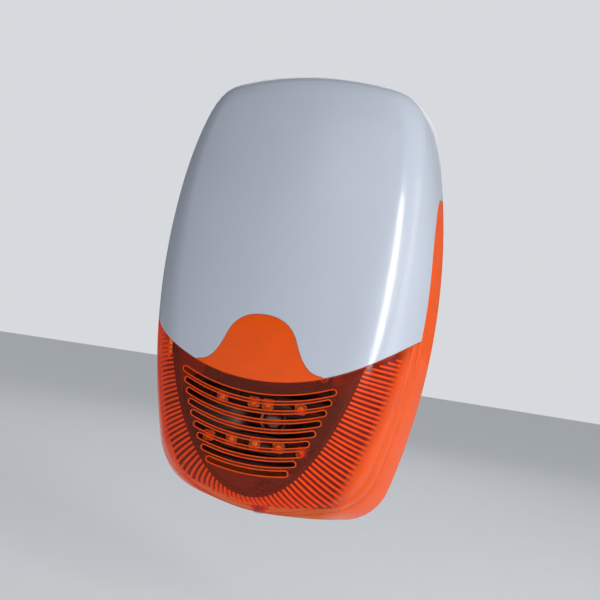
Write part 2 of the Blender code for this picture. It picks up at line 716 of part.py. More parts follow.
def make_wall_base():
    base = prism("wall_base", rim_outline(TRAY_INSET), "Y", -TRAY_HEIGHT, 0.0, BASE_PLASTIC)
    inner = rim_outline(TRAY_INSET + TRAY_WALL)
    hollow = prism("tray_hollow", inner, "Y", -TRAY_HEIGHT - 0.005, -PLATE, collection=CUTTERS)
    boolean(base, hollow, "DIFFERENCE")

    for x in (-FIXING_X, FIXING_X):
        for z in (-FIXING_Z, FIXING_Z):
            name = f"{x * 1000:.0f}_{z * 1000:.0f}"
            pad = cutter(f"fixing_pad_{name}", (x, -0.001, z), (0, -1, 0), 0.0065, 0.0045)
            hole = cutter(f"fixing_hole_{name}", (x, 0.001, z), (0, -1, 0), FIXING_RADIUS, 0.010)
            boolean(base, pad, "UNION")
            boolean(base, hole, "DIFFERENCE")
    entry = cutter("cable_entry_hole", (0, 0.002, ENTRY_Z), (0, -1, 0), ENTRY_RADIUS, 0.010)
    boolean(base, entry, "DIFFERENCE")

    for x in (-BOARD_SCREW_X, BOARD_SCREW_X):
        for z in (BOARD_SCREW_LOW_Z, BOARD_SCREW_HIGH_Z):
            name = f"{x * 1000:.0f}_{z * 1000:.0f}"
            height = -BOARD_BACK_Y - GAP - 0.002
            standoff = cutter(f"standoff_{name}", (x, -0.002, z), (0, -1, 0), 0.0035, height)
            thread = cutter(f"standoff_thread_{name}", (x, -0.0035, z), (0, -1, 0), 0.0018, 0.02)
            boolean(base, standoff, "UNION")
            boolean(base, thread, "DIFFERENCE")

    shelf_top = BATTERY_LOW_Z - GAP
    shelf_low = (-0.050, -0.030, shelf_top - 0.0025)
    shelf = box("battery_shelf", shelf_low, (0.050, -0.002, shelf_top), collection=CUTTERS)
    boolean(base, shelf, "UNION")
    for side in (-1, 1):
        cheek_x = sorted((side * (BATTERY_WIDTH / 2 + GAP), side * (BATTERY_WIDTH / 2 + GAP + 0.002)))
        cheek = box(
            f"battery_cheek_{side}",
            (cheek_x[0], -0.020, shelf_top - 0.001),
            (cheek_x[1], -0.002, shelf_top + 0.030),
            collection=CUTTERS,
        )
        boolean(base, cheek, "UNION")
        strap_x = side * STRAP_SCREW_X
        strap_post = cutter(f"strap_post_{side}", (strap_x, -0.002, STRAP_Z), (0, -1, 0), 0.0042, 0.0097)
        strap_thread = cutter(f"strap_thread_{side}", (strap_x, -0.004, STRAP_Z), (0, -1, 0), 0.0018, 0.02)
        boolean(base, strap_post, "UNION")
        boolean(base, strap_thread, "DIFFERENCE")
        post_x = side * HORN_POST_X
        reach = -HORN_MOUTH_Y - HORN_WALL - GAP - 0.002
        horn_post = cutter(f"horn_post_{side}", (post_x, -0.002, HORN_POST_Z), (0, -1, 0), 0.0042, reach)
        horn_thread = cutter(f"horn_thread_{side}", (post_x, -0.034, HORN_POST_Z), (0, -1, 0), 0.0018, 0.02)
        boolean(base, horn_post, "UNION")
        boolean(base, horn_thread, "DIFFERENCE")
        for ear_side in (-1, 1):
            middle = side * HINGE_X + ear_side * EAR_OFFSET
            ear = prism(
                f"hinge_ear_{side}_{ear_side}",
                ear_outline(),
                "X",
                middle - EAR_WIDTH / 2,
                middle + EAR_WIDTH / 2,
                collection=CUTTERS,
            )
            boolean(base, ear, "UNION")
        bore_start = (side * HINGE_X - 0.015, HINGE_Y, HINGE_Z)
        pin_bore = cutter(f"pin_bore_{side}", bore_start, (1, 0, 0), PIN_RADIUS + 0.0001, 0.030)
        boolean(base, pin_bore, "DIFFERENCE")

    lug = box("screw_lug", (-0.008, -0.0265, LUG_LOW_Z), (0.008, -0.002, LUG_HIGH_Z), collection=CUTTERS)
    slot_half = SCREW_RADIUS + 0.0005
    slot_back = SCREW_Y + 0.0005
    lug_slot = box(
        "screw_lug_slot",
        (-slot_half, -0.030, LUG_LOW_Z - 0.002),
        (slot_half, slot_back, LUG_HIGH_Z + 0.002),
        collection=CUTTERS,
    )
    lug_end = cutter("screw_lug_end", (0, slot_back, LUG_LOW_Z - 0.002), (0, 0, 1), slot_half, 0.008)
    boolean(base, lug, "UNION")
    boolean(base, lug_slot, "DIFFERENCE")
    boolean(base, lug_end, "DIFFERENCE")

    driver_ring = turned(
        "driver_ring",
        ((0.0235, 0.006), (0.0235, 0.0), (0.0215, 0.0), (0.0215, 0.006), (0.0235, 0.006)),
        (0, -0.002, HORN_AXIS_Z),
        (0, -1, 0),
        None,
        collection=CUTTERS,
    )
    boolean(base, driver_ring, "UNION")
    return base


def ear_outline():
    """Side view of a hinge ear: a foot on the tray's back and a round eye about the pin."""
    eye_radius = 0.0030
    foot = [(-0.002, 0.1095), (-0.002, TRAY_TOP_Z - 0.003)]
    eye = []
    for step in range(11):
        angle = math.radians(40 + 215 * step / 10)
        eye.append((HINGE_Y + eye_radius * math.cos(angle), HINGE_Z + eye_radius * math.sin(angle)))
    return foot + eye


def make_base_trim():
    flange = 0.0022
    grommet = turned(
        "cable_grommet",
        (
            (ENTRY_RADIUS + 0.0020, PLATE + GAP + flange),
            (ENTRY_RADIUS + 0.0020, PLATE + GAP),
            (ENTRY_RADIUS - GAP, PLATE + GAP),
            (ENTRY_RADIUS - GAP, GAP),
            (CABLE_RADIUS, GAP),
            (CABLE_RADIUS, PLATE + GAP + flange),
            (ENTRY_RADIUS + 0.0020, PLATE + GAP + flange),
        ),
        (0, 0, ENTRY_Z),
        (0, -1, 0),
        RUBBER,
    )
    seal_back = -TRAY_HEIGHT - GAP
    seal = prism("rim_seal", rim_outline(TRAY_INSET + 0.0001), "Y", seal_back - 0.0016, seal_back, RUBBER)
    inner = prism(
        "rim_seal_hollow",
        rim_outline(TRAY_INSET + TRAY_WALL - 0.0001),
        "Y",
        seal_back - 0.01,
        seal_back + 0.01,
        collection=CUTTERS,
    )
    boolean(seal, inner, "DIFFERENCE")
    hinge_gap = box(
        "rim_seal_gap",
        (-HINGE_X - EAR_OFFSET - EAR_WIDTH, seal_back - 0.01, TRAY_TOP_Z - 0.010),
        (HINGE_X + EAR_OFFSET + EAR_WIDTH, seal_back + 0.01, TRAY_TOP_Z + 0.010),
        collection=CUTTERS,
    )
    boolean(seal, hinge_gap, "DIFFERENCE")
    for side in (-1, 1):
        start = (side * HINGE_X - PIN_LENGTH / 2, HINGE_Y, HINGE_Z)
        name = "hinge_pin_left" if side < 0 else "hinge_pin_right"
        cylinder(name, start, (1, 0, 0), PIN_RADIUS, PIN_LENGTH, STEEL)
    return grommet, seal


# ---------------------------------------------------------------- battery


def make_battery():
    back = -PLATE - GAP
    low = (-BATTERY_WIDTH / 2, back - BATTERY_DEPTH, BATTERY_LOW_Z)
    high = (BATTERY_WIDTH / 2, back, BATTERY_LOW_Z + BATTERY_HEIGHT)
    box("battery", low, high, GREY_PLASTIC, bevel=0.0015)
    for name, x in (("battery_tab_positive", 0.038), ("battery_tab_negative", -0.038)):
        box(
            name,
            (x - 0.0024, back - 0.0125, high[2] + GAP),
            (x + 0.0024, back - 0.0117, high[2] + 0.0066),
            BRASS,
        )

    strap_front = low[1] - GAP
    thickness = 0.0012
    half = BATTERY_WIDTH / 2 + GAP
    foot_y = -0.0117 - GAP
    path = (
        (-half - 0.0140, foot_y),
        (-half - thickness - 0.0020, foot_y),
        (-half - thickness - 0.0020, strap_front - thickness),
        (half + thickness + 0.0020, strap_front - thickness),
        (half + thickness + 0.0020, foot_y),
        (half + 0.0140, foot_y),
        (half + 0.0140, foot_y - thickness),
        (half + 2 * thickness + 0.0020, foot_y - thickness),
        (half + 2 * thickness + 0.0020, strap_front - 2 * thickness),
        (-half - 2 * thickness - 0.0020, strap_front - 2 * thickness),
        (-half - 2 * thickness - 0.0020, foot_y - thickness),
        (-half - 0.0140, foot_y - thickness),
    )
    strap = prism("battery_strap", path, "Z", STRAP_Z - 0.006, STRAP_Z + 0.006, STEEL)
    for side, name in ((-1, "strap_screw_left"), (1, "strap_screw_right")):
        x = side * STRAP_SCREW_X
        hole = cutter(f"strap_hole_{side}", (x, -0.005, STRAP_Z), (0, -1, 0), 0.0019, 0.015)
        boolean(strap, hole, "DIFFERENCE")
        screw(name, (x, foot_y - thickness - GAP + 0.0070, STRAP_Z), (0, -1, 0), 0.0070)


# ---------------------------------------------------------------- main board


def make_board():
    front = BOARD_BACK_Y - BOARD_THICKNESS
    board = box(
        "main_board",
        (-BOARD_HALF_WIDTH, front, BOARD_LOW_Z),
        (BOARD_HALF_WIDTH, BOARD_BACK_Y, BOARD_HIGH_Z),
        BOARD_RESIN,
    )
    number = 1
    for x in (-BOARD_SCREW_X, BOARD_SCREW_X):
        for z in (BOARD_SCREW_LOW_Z, BOARD_SCREW_HIGH_Z):
            hole = cutter(f"board_hole_{number}", (x, -0.005, z), (0, -1, 0), 0.0018, 0.010)
            boolean(board, hole, "DIFFERENCE")
            screw(f"board_screw_{number}", (x, front - GAP + 0.0055, z), (0, -1, 0), 0.0055)
            number += 1

    face = front - GAP
    ways = 8
    pitch = 0.0051
    width = ways * pitch
    block_low, block_high = BOARD_LOW_Z + 0.0015, BOARD_LOW_Z + 0.0115
    block_front = (-width / 2, face - 0.0120, block_low)
    block = box("terminal_block", block_front, (width / 2, face, block_high), GREEN_PLASTIC)
    for way in range(ways):
        x = -width / 2 + pitch * (way + 0.5)
        mouth = box(
            f"terminal_mouth_{way}",
            (x - 0.0017, face - 0.0080, block_low - 0.001),
            (x + 0.0017, face - 0.0035, block_low + 0.0050),
            collection=CUTTERS,
        )
        hole_start = (x, face - 0.0150, block_high - 0.0035)
        hole = cutter(f"terminal_screw_hole_{way}", hole_start, (0, 1, 0), 0.0016, 0.0060, steps=12)
        boolean(block, mouth, "DIFFERENCE")
        boolean(block, hole, "DIFFERENCE")

    box("relay", (-0.040, face - 0.0155, 0.0020), (-0.0205, face, 0.0175), RELAY_PLASTIC, bevel=0.0006)
    cylinder("capacitor_main", (0.0130, face, 0.0180), (0, -1, 0), 0.0080, 0.0250, BLACK_PLASTIC)
    cylinder("capacitor_small", (-0.0060, face, 0.0200), (0, -1, 0), 0.0050, 0.0120, BLACK_PLASTIC)
    chip = ((-0.0100, face - 0.0033, -0.0080), (0.0150, face, -0.0015))
    box("control_chip", *chip, BLACK_RESIN, bevel=0.0004)
    cylinder("fuse", (0.0280, face - 0.0032, 0.0060), (1, 0, 0), 0.0026, 0.0200, BRASS, steps=16)
    transistor = ((0.0300, face - 0.0150, -0.0090), (0.0402, face, -0.0045))
    box("driver_transistor", *transistor, BLACK_RESIN, bevel=0.0004)
    for name, x, z in (("battery_socket", -0.0480, 0.0120), ("strobe_socket", -0.0330, -0.0100)):
        low = (x - 0.0050, face - 0.0080, z - 0.0032)
        socket = box(name, low, (x + 0.0050, face, z + 0.0032), BASE_PLASTIC)
        recess = box(
            f"{name}_recess",
            (x - 0.0038, face - 0.0100, z - 0.0020),
            (x + 0.0038, face - 0.0030, z + 0.0020),
            collection=CUTTERS,
        )
        boolean(socket, recess, "DIFFERENCE")


# ---------------------------------------------------------------- horn, driver and strobe


def mouth_outline(grow, steps=32):
    """The horn's mouth: a rounded shape, wide at the top and narrower at the bottom."""
    middle = (HORN_TOP_Z + HORN_BOTTOM_Z) / 2
    half_height = (HORN_TOP_Z - HORN_BOTTOM_Z) / 2 + grow
    points = []
    for step in range(steps):
        angle = 2 * math.pi * step / steps
        sine, cosine = math.sin(angle), math.cos(angle)
        z = math.copysign(abs(cosine) ** 0.5, cosine)
        share = (z + 1) / 2
        half_width = HORN_BOTTOM_HALF + (HORN_TOP_HALF - HORN_BOTTOM_HALF) * share + grow
        points.append((math.copysign(abs(sine) ** 0.5, sine) * half_width, middle + z * half_height))
    return points


def make_horn():
    """A funnel from the wide mouth to the round throat."""
    steps = 32
    throat = []
    for step in range(steps):
        angle = 2 * math.pi * step / steps
        z = HORN_AXIS_Z + HORN_THROAT_RADIUS * math.cos(angle)
        throat.append((HORN_THROAT_RADIUS * math.sin(angle), z))
    mouth = mouth_outline(0.0, steps)
    rings = [[(x, HORN_MOUTH_Y, z) for x, z in mouth_outline(HORN_LIP, steps)]]
    rows = 5
    for row in range(rows + 1):
        t = row / rows
        flare = (1 - t) ** 1.7
        y = HORN_MOUTH_Y + (HORN_THROAT_Y - HORN_MOUTH_Y) * t
        ring = []
        for (mouth_x, mouth_z), (throat_x, throat_z) in zip(mouth, throat):
            x = throat_x + (mouth_x - throat_x) * flare
            ring.append((x, y, throat_z + (mouth_z - throat_z) * flare))
        rings.append(ring)
    bm = bmesh.new()
    grid = [[bm.verts.new(point) for point in ring] for ring in rings]
    for outer, inner in zip(grid, grid[1:]):
        for index in range(steps):
            following = (index + 1) % steps
            bm.faces.new((outer[index], inner[index], inner[following], outer[following]))
    mesh = bpy.data.meshes.new("siren_horn")
    bm.to_mesh(mesh)
    bm.free()
    horn = new_object("siren_horn", mesh, BLACK_PLASTIC)
    wall = horn.modifiers.new("wall", "SOLIDIFY")
    wall.thickness = HORN_WALL
    wall.offset = -1.0
    for side, name in ((-1, "horn_screw_left"), (1, "horn_screw_right")):
        middle = side * HORN_POST_X
        ear = box(
            f"horn_ear_{side}",
            (middle - 0.005, HORN_MOUTH_Y, HORN_POST_Z - 0.009),
            (middle + 0.005, HORN_MOUTH_Y + HORN_WALL, HORN_POST_Z + 0.005),
            collection=CUTTERS,
        )
        behind = (middle, HORN_MOUTH_Y + 0.01, HORN_POST_Z)
        hole = cutter(f"horn_hole_{side}", behind, (0, -1, 0), 0.0018, 0.020)
        boolean(horn, ear, "UNION")
        boolean(horn, hole, "DIFFERENCE")
        screw(name, (middle, HORN_MOUTH_Y - GAP + 0.0080, HORN_POST_Z), (0, -1, 0), 0.0080)
    return horn


def make_driver():
    start = (0, -PLATE - GAP, HORN_AXIS_Z)
    cylinder("driver_magnet", start, (0, -1, 0), 0.0208, 0.0090, STEEL)
    seat = (0, -PLATE - GAP - 0.0090 - GAP, HORN_AXIS_Z)
    turned(
        "driver_housing",
        (
            (0.0, 0.0040),
            (0.0100, 0.0040),
            (0.0100, 0.0104),
            (0.0145, 0.0104),
            (0.0160, 0.0075),
            (0.0245, 0.0060),
            (0.0245, 0.0),
            (0.0, 0.0),
        ),
        seat,
        (0, -1, 0),
        BLACK_PLASTIC,
    )
    turned(
        "driver_diaphragm",
        ((0.0, 0.0040), (0.0050, 0.0032), (0.0085, 0.0014), (0.0096, 0.0010), (0.0096, 0.0), (0.0, 0.0)),
        (0, seat[1] - 0.0040 - GAP, HORN_AXIS_Z),
        (0, -1, 0),
        ALUMINIUM,
    )


def make_strobe():
    rows = (
        ("upper", STRIP_UPPER_Z, STRIP_UPPER_HALF, LEDS_UPPER_X),
        ("lower", STRIP_LOWER_Z, STRIP_LOWER_HALF, LEDS_LOWER_X),
    )
    back = HORN_MOUTH_Y - GAP
    front = back - BOARD_THICKNESS
    for row, z, half, places in rows:
        board_low, board_high = (-half, front, z - STRIP_HEIGHT / 2), (half, back, z + STRIP_HEIGHT / 2)
        box(f"strobe_board_{row}", board_low, board_high, BLACK_RESIN)
        for number, x in enumerate(places, 1):
            low = (x - LED_SIZE / 2, front - GAP - LED_HEIGHT, z - LED_SIZE / 2)
            high = (x + LED_SIZE / 2, front - GAP, z + LED_SIZE / 2)
            box(f"led_{row}_{number}", low, high, LED_RESIN, bevel=0.0008)


# ---------------------------------------------------------------- tamper switch


def make_tamper():
    low = (-0.008, TAMPER_FACE_Y, TAMPER_Z - 0.0055)
    high = (0.008, -PLATE - GAP, TAMPER_Z + 0.0055)
    switch = box("tamper_switch", low, high, BLACK_PLASTIC, bevel=0.0008)
    face = (0, TAMPER_FACE_Y - 0.002, TAMPER_Z)
    bore = cutter("tamper_bore", face, (0, 1, 0), TAMPER_RADIUS + RUNNING_GAP, 0.0120)
    boolean(switch, bore, "DIFFERENCE")
    turned(
        "tamper_plunger",
        (
            (0.0, 0.0110),
            (TAMPER_RADIUS * 0.5, 0.0110),
            (TAMPER_RADIUS * 0.9, 0.0104),
            (TAMPER_RADIUS, 0.0095),
            (TAMPER_RADIUS, 0.0),
            (0.0, 0.0),
        ),
        (0, TAMPER_TIP_Y + 0.0110, TAMPER_Z),
        (0, -1, 0),
        RED_WIRE,
    )


# ---------------------------------------------------------------- wires


def make_wires():
    tab_y = -PLATE - GAP - 0.0121
    over = BATTERY_LOW_Z + BATTERY_HEIGHT + 0.0085
    socket_y = BOARD_BACK_Y - BOARD_THICKNESS - GAP - 0.0083
    wire(
        "battery_lead_red",
        (
            (0.038, tab_y, over),
            (0.046, tab_y, over + 0.001),
            (0.0545, tab_y - 0.003, 0.0980),
            (0.0640, tab_y - 0.006, 0.0800),
            (0.0660, tab_y - 0.006, 0.0560),
            (0.0560, tab_y - 0.006, 0.0400),
            (0.0300, socket_y - 0.006, 0.0375),
            (-0.0200, socket_y - 0.010, 0.0330),
            (-0.0420, socket_y - 0.009, 0.0220),
            (-0.0465, socket_y - 0.003, 0.0125),
            (-0.0466, socket_y, 0.0122),
        ),
        0.0009,
        RED_WIRE,
    )
    wire(
        "battery_lead_black",
        (
            (-0.038, tab_y, over),
            (-0.046, tab_y, over + 0.001),
            (-0.0545, tab_y - 0.003, 0.0980),
            (-0.0640, tab_y - 0.006, 0.0800),
            (-0.0660, tab_y - 0.006, 0.0560),
            (-0.0620, tab_y - 0.006, 0.0380),
            (-0.0540, socket_y - 0.007, 0.0220),
            (-0.0496, socket_y - 0.003, 0.0125),
            (-0.0495, socket_y, 0.0122),
        ),
        0.0009,
        BLACK_WIRE,
    )
    wire(
        "strobe_lead",
        (
            (-0.0330, socket_y, -0.0100),
            (-0.0330, socket_y - 0.004, -0.0120),
            (-0.0300, socket_y - 0.009, -0.0260),
            (-0.0260, -0.0360, -0.0400),
            (-0.0200, -0.0470, -0.0510),
            (-0.0160, -0.0525, -0.0585),
            (-0.0150, -0.0530, -0.0660),
            (-0.0150, -0.0520, -0.0710),
            (-0.0150, HORN_MOUTH_Y - 3 * GAP - BOARD_THICKNESS - 0.0003, -0.0725),
        ),
        0.0010,
        BLACK_WIRE,
    )
    block_low = BOARD_LOW_Z + 0.0015
    for name, x, end_x, material in (
        ("horn_lead_red", 0.00255, 0.0020, RED_WIRE),
        ("horn_lead_black", 0.00765, 0.0080, BLACK_WIRE),
    ):
        wire(
            name,
            (
                (x, -0.0170, block_low + 0.003),
                (x, -0.0170, block_low - 0.003),
                (x + 0.007, -0.0165, -0.0400),
                (x + 0.009, -0.0150, -0.0500),
                (end_x + 0.0010, -0.0160, HORN_AXIS_Z + 0.0285),
                (end_x, -0.0160, HORN_AXIS_Z + 0.0260),
                (end_x, -0.0160, HORN_AXIS_Z + 0.0250),
            ),
            0.0009,
            material,
        )


def attach(names, parent_name, pivot):
    """Puts the named pieces under an empty that stands on their joint's axis."""
    empty = bpy.data.objects.new(parent_name, None)
    PARTS.objects.link(empty)
    empty.location = pivot
    bpy.context.view_layer.update()
    for name in names:
        obj = bpy.data.objects[name]
        obj.parent = empty
        obj.matrix_parent_inverse = empty.matrix_world.inverted()
    return empty


def main():
    make_top_cover()
    make_lens()
    make_cover_screw()
    make_lock_nut()
    screw(
        "tongue_screw",
        (0, front_y(0, TONGUE_BOSS_Z) + 0.0020, TONGUE_BOSS_Z),
        (0, 1, 0),
        TONGUE_BOSS_DEPTH + GAP - 0.0020,
        head_radius=0.0054,
    )
    make_wall_base()
    make_base_trim()
    make_battery()
    make_board()
    make_horn()
    make_driver()
    make_strobe()
    make_tamper()
    make_wires()
    cover_pieces = ("top_cover", "strobe_lens", "lock_nut", "tongue_screw", "cover_screw")
    attach(cover_pieces, "cover_hinge", (0, HINGE_Y, HINGE_Z))


main()
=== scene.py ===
"""A wall-mounted alarm siren: white cover, amber strobe lens with sound slots, and the works behind them."""

import math

import bmesh
import bpy
import numpy as np
from mathutils import Matrix, Vector
from mathutils.bvhtree import BVHTree
from mathutils.geometry import interpolate_bezier


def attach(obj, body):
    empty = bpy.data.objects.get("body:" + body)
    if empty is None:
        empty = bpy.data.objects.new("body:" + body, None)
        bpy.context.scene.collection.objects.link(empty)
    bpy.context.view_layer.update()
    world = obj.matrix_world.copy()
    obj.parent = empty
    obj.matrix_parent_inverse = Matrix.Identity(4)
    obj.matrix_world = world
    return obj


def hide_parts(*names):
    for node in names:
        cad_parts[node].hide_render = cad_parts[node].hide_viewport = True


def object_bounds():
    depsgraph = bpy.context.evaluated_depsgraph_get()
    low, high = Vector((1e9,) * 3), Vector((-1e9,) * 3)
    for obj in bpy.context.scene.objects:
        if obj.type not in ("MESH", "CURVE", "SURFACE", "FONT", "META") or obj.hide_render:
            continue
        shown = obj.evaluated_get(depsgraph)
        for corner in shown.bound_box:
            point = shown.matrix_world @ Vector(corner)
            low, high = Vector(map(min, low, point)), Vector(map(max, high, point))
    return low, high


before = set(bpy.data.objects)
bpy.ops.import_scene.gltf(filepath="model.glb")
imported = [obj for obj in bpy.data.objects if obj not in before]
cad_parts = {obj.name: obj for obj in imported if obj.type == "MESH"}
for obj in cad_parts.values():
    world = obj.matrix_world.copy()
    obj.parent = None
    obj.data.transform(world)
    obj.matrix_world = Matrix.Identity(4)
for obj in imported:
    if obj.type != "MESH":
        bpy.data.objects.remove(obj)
cad_low, cad_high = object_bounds()

# -------- dimensions, in metres

HALF_WIDTH = 0.093
HALF_HEIGHT = 0.145
SIDE_BOW = 0.0251
END_BOW = 0.0187
CORNER_RADIUS = 0.033
RIM_GAP = 0.0032
# The CAD's facets reach this deep. The smooth crest bulges a little between them, so it starts lower.
FACET_DEPTH = 0.0686
CROWN_DEPTH = FACET_DEPTH - 0.00026
DEPTH_TILT = 0.0047
DEPTH_FALL = 0.0223
CROSS_RADIUS = 0.250
WALL = 0.0025
FACE_HALF_WIDTH = 0.071
FACE_HALF_HEIGHT = 0.182
FACE_CENTRE_Z = 0.055
FACE_INSET = 0.009
FACE_BLEND = 0.012
SKIRT_FLARE = 0.7
SKIRT_LIFT = 0.2
FILLET_TIP = 0.004
FILLET_TOP = 0.014

SMILE_RADIUS = 0.120
SMILE_LOW_Z = -0.059
SMILE_MARGIN = 0.002
TONGUE_TOP_Z = -0.0206
TONGUE_HALF_WIDTH = 0.0215
TONGUE_SIDE_Z = -0.034
LOBE_X = 0.040
LOBE_Z = -0.0513
ARM_DEPTH = 0.022
ARM_TOP_Z = 0.072
ARM_TAPER_Z = 0.028
SEAM_GAP = 0.0003
LEDGE_DEPTH = 0.0030
LEDGE_THICKNESS = 0.0018
LEDGE_HALF_WIDTH = 0.0385
LEDGE_MARGIN = 0.0042
BOSS_Z = -0.0353
BOSS_RADIUS = 0.0038
BOSS_DEPTH = 0.0052
BOSS_BORE = 0.0016

SLOT_COUNT = 9
SLOT_PITCH = 0.0055
SLOT_HEIGHT = 0.0028
SLOT_FIRST_Z = -0.0682
SLOT_END_INSET = 0.0075

# The lens's rim band has two shallow grooves, at these depths.
GROOVE_DEPTHS = (0.0262, 0.0345)
GROOVE_HALF = 0.0007
GROOVE_SINK = 0.00045
STEPS = 168

# Fins behind the lens's skirt, and the black collar behind them: painted shade that shows dark between them.
RIB_PITCH = 0.0025
RIB_HALF = 0.00068
RIB_DEPTH = 0.0011
RIB_STEP = 0.0032
RIB_CENTRE = (0, -0.060)
SHADE_COLLAR_DEPTH = 0.0014
SHADE_COLLAR_THICKNESS = 0.0006
CREASE_INSET = 0.0015
# The shade collar's edge and the zone where clear turns to frosted, as multiples of the face's ellipse.
SHADE_COLLAR_REACH = 1.22
FROST_START = 1.19
FROST_END = 1.27
BEAD_RADIUS = 0.00038

PLATE = 0.003
TRAY_HEIGHT = 0.009
TRAY_INSET = 0.0080
TRAY_WALL = 0.002
TRAY_TOP_Z = 0.1235
TRAY_TOP_RADIUS = 0.280
FIXING_X = 0.066
FIXING_Z = 0.102
FIXING_RADIUS = 0.0025
ENTRY_Z = -0.045
ENTRY_RADIUS = 0.008
CABLE_RADIUS = 0.0042

HINGE_Y = -0.0225
HINGE_Z = 0.1335
HINGE_X = 0.024
PIN_RADIUS = 0.0015
PIN_LENGTH = 0.0205
KNUCKLE_RADIUS = 0.0030
KNUCKLE_WIDTH = 0.0085
EAR_WIDTH = 0.003
EAR_OFFSET = 0.0072
WEB_HALF = 0.0022
WEB_HEIGHT = 0.0072

SCREW_Y = -0.020
SCREW_RADIUS = 0.002
SCREW_HEAD_RADIUS = 0.0036
SCREW_BOTTOM_Z = -0.1428
SCREW_TOP_Z = -0.1215
SCREW_BOSS_Z = -0.13997
SCREW_BOSS_RADIUS = 0.0060
LUG_LOW_Z = -0.1310
LUG_HIGH_Z = -0.1275

BATTERY_HALF_WIDTH = 0.0485
BATTERY_DEPTH = 0.043
BATTERY_LOW_Z = 0.0445
BATTERY_HIGH_Z = 0.0965
STRAP_Z = 0.0725
STRAP_SCREW_X = 0.0575

BOARD_HALF_WIDTH = 0.056
BOARD_LOW_Z = -0.030
BOARD_HIGH_Z = 0.034
BOARD_BACK_Y = -0.009
BOARD_THICKNESS = 0.0016
BOARD_SCREW_X = 0.050
BOARD_SCREWS_Z = (-0.024, 0.028)
CHIP_Z = -0.00475

HORN_MOUTH_Y = -0.048
HORN_THROAT_Y = -0.0242
HORN_AXIS_Z = -0.084
HORN_TOP_Z = -0.062
HORN_BOTTOM_Z = -0.108
HORN_TOP_HALF = 0.0545
HORN_BOTTOM_HALF = 0.040
HORN_THROAT_RADIUS = 0.012
HORN_WALL = 0.0016
HORN_LIP = 0.0035
HORN_POST_X = 0.036
HORN_POST_Z = -0.0525
MAGNET_DEPTH = 0.0090

STRIP_HEIGHT = 0.011
STRIPS = (
    ("upper", -0.0725, 0.0525, (-0.025, -0.0045, 0.0045, 0.025)),
    ("lower", -0.0970, 0.0450, (-0.030, -0.015, 0.0, 0.015, 0.030)),
)

TAMPER_Z = 0.112
TAMPER_FACE_Y = -0.030
TAMPER_RADIUS = 0.0025
TAMPER_TIP_Y = -0.0355
TAMPER_POST_GAP = 0.0004
TAMPER_POST_RADIUS = 0.0035
TAMPER_HALF_HEIGHT = 0.0055
GAP = 0.0003

# The base's posts start inside its plate. Self-cutting screws go into pilot holes of one size.
ROOT_Y = -0.002
POST_RADIUS = 0.0042
PILOT_RADIUS = 0.0018
LEAD_RADIUS = 0.0009
STRAP_HALF = 0.0006
OUTWARDS, INWARDS, UP, ACROSS = (0, -1, 0), (0, 1, 0), (0, 0, 1), (1, 0, 0)


# -------- the cover's outer surface


def corner_circle():
    """Centres and radii of the side, end and corner arcs in the first quadrant of the rim's outline."""
    side_radius = (HALF_HEIGHT**2 + SIDE_BOW**2) / (2 * SIDE_BOW)
    end_radius = (HALF_WIDTH**2 + END_BOW**2) / (2 * END_BOW)
    side_centre = np.array((HALF_WIDTH - side_radius, 0.0))
    end_centre = np.array((0.0, HALF_HEIGHT - end_radius))
    to_side, to_end = side_radius - CORNER_RADIUS, end_radius - CORNER_RADIUS
    across = end_centre - side_centre
    distance = np.linalg.norm(across)
    along = (to_side**2 - to_end**2 + distance**2) / (2 * distance)
    off = math.sqrt(to_side**2 - along**2)
    unit = across / distance
    centre = side_centre + unit * along + np.array((-unit[1], unit[0])) * off
    return (side_centre, side_radius), (end_centre, end_radius), (centre, CORNER_RADIUS)


SIDE_ARC, END_ARC, CORNER_ARC = corner_circle()


def arc_angle(arc):
    """Angle from +Z at which an arc meets the corner arc."""
    towards = CORNER_ARC[0] - arc[0]
    touch = arc[0] + towards / np.linalg.norm(towards) * arc[1]
    return math.atan2(touch[0], touch[1])


SIDE_ANGLE, END_ANGLE = arc_angle(SIDE_ARC), arc_angle(END_ARC)


def rim_radius(angle, inset=0.0):
    """Distance from the centre to the rim's outline. The angle starts at +Z and turns towards +X."""
    ray = np.array((abs(math.sin(angle)), abs(math.cos(angle))))
    folded = math.atan2(ray[0], ray[1])
    arc = SIDE_ARC if folded > SIDE_ANGLE else END_ARC if folded < END_ANGLE else CORNER_ARC
    centre, radius = arc
    forward = ray @ centre
    return forward + math.sqrt(forward**2 - centre @ centre + (radius - inset) ** 2)


def face_radius(angle, inset=0.0):
    """Distance from the centre to the front face's edge: the ellipse, blended into the outline's inset."""
    sine, cosine = math.sin(angle), math.cos(angle)
    square = (sine / FACE_HALF_WIDTH) ** 2 + (cosine / FACE_HALF_HEIGHT) ** 2
    linear = -2 * cosine * FACE_CENTRE_Z / FACE_HALF_HEIGHT**2
    constant = (FACE_CENTRE_Z / FACE_HALF_HEIGHT) ** 2 - 1
    ellipse = (-linear + math.sqrt(linear**2 - 4 * square * constant)) / (2 * square)
    limit = rim_radius(angle) - FACE_INSET
    share = min(max(0.5 + 0.5 * (limit - ellipse) / FACE_BLEND, 0.0), 1.0)
    return limit * (1 - share) + ellipse * share - FACE_BLEND * share * (1 - share) - inset


def front_y(x, z, inset=0.0):
    """The crowned front face."""
    height = z / HALF_HEIGHT
    depth = CROWN_DEPTH - DEPTH_TILT * height - DEPTH_FALL * height**2 - x**2 / (2 * CROSS_RADIUS)
    return -(RIM_GAP + depth - inset)


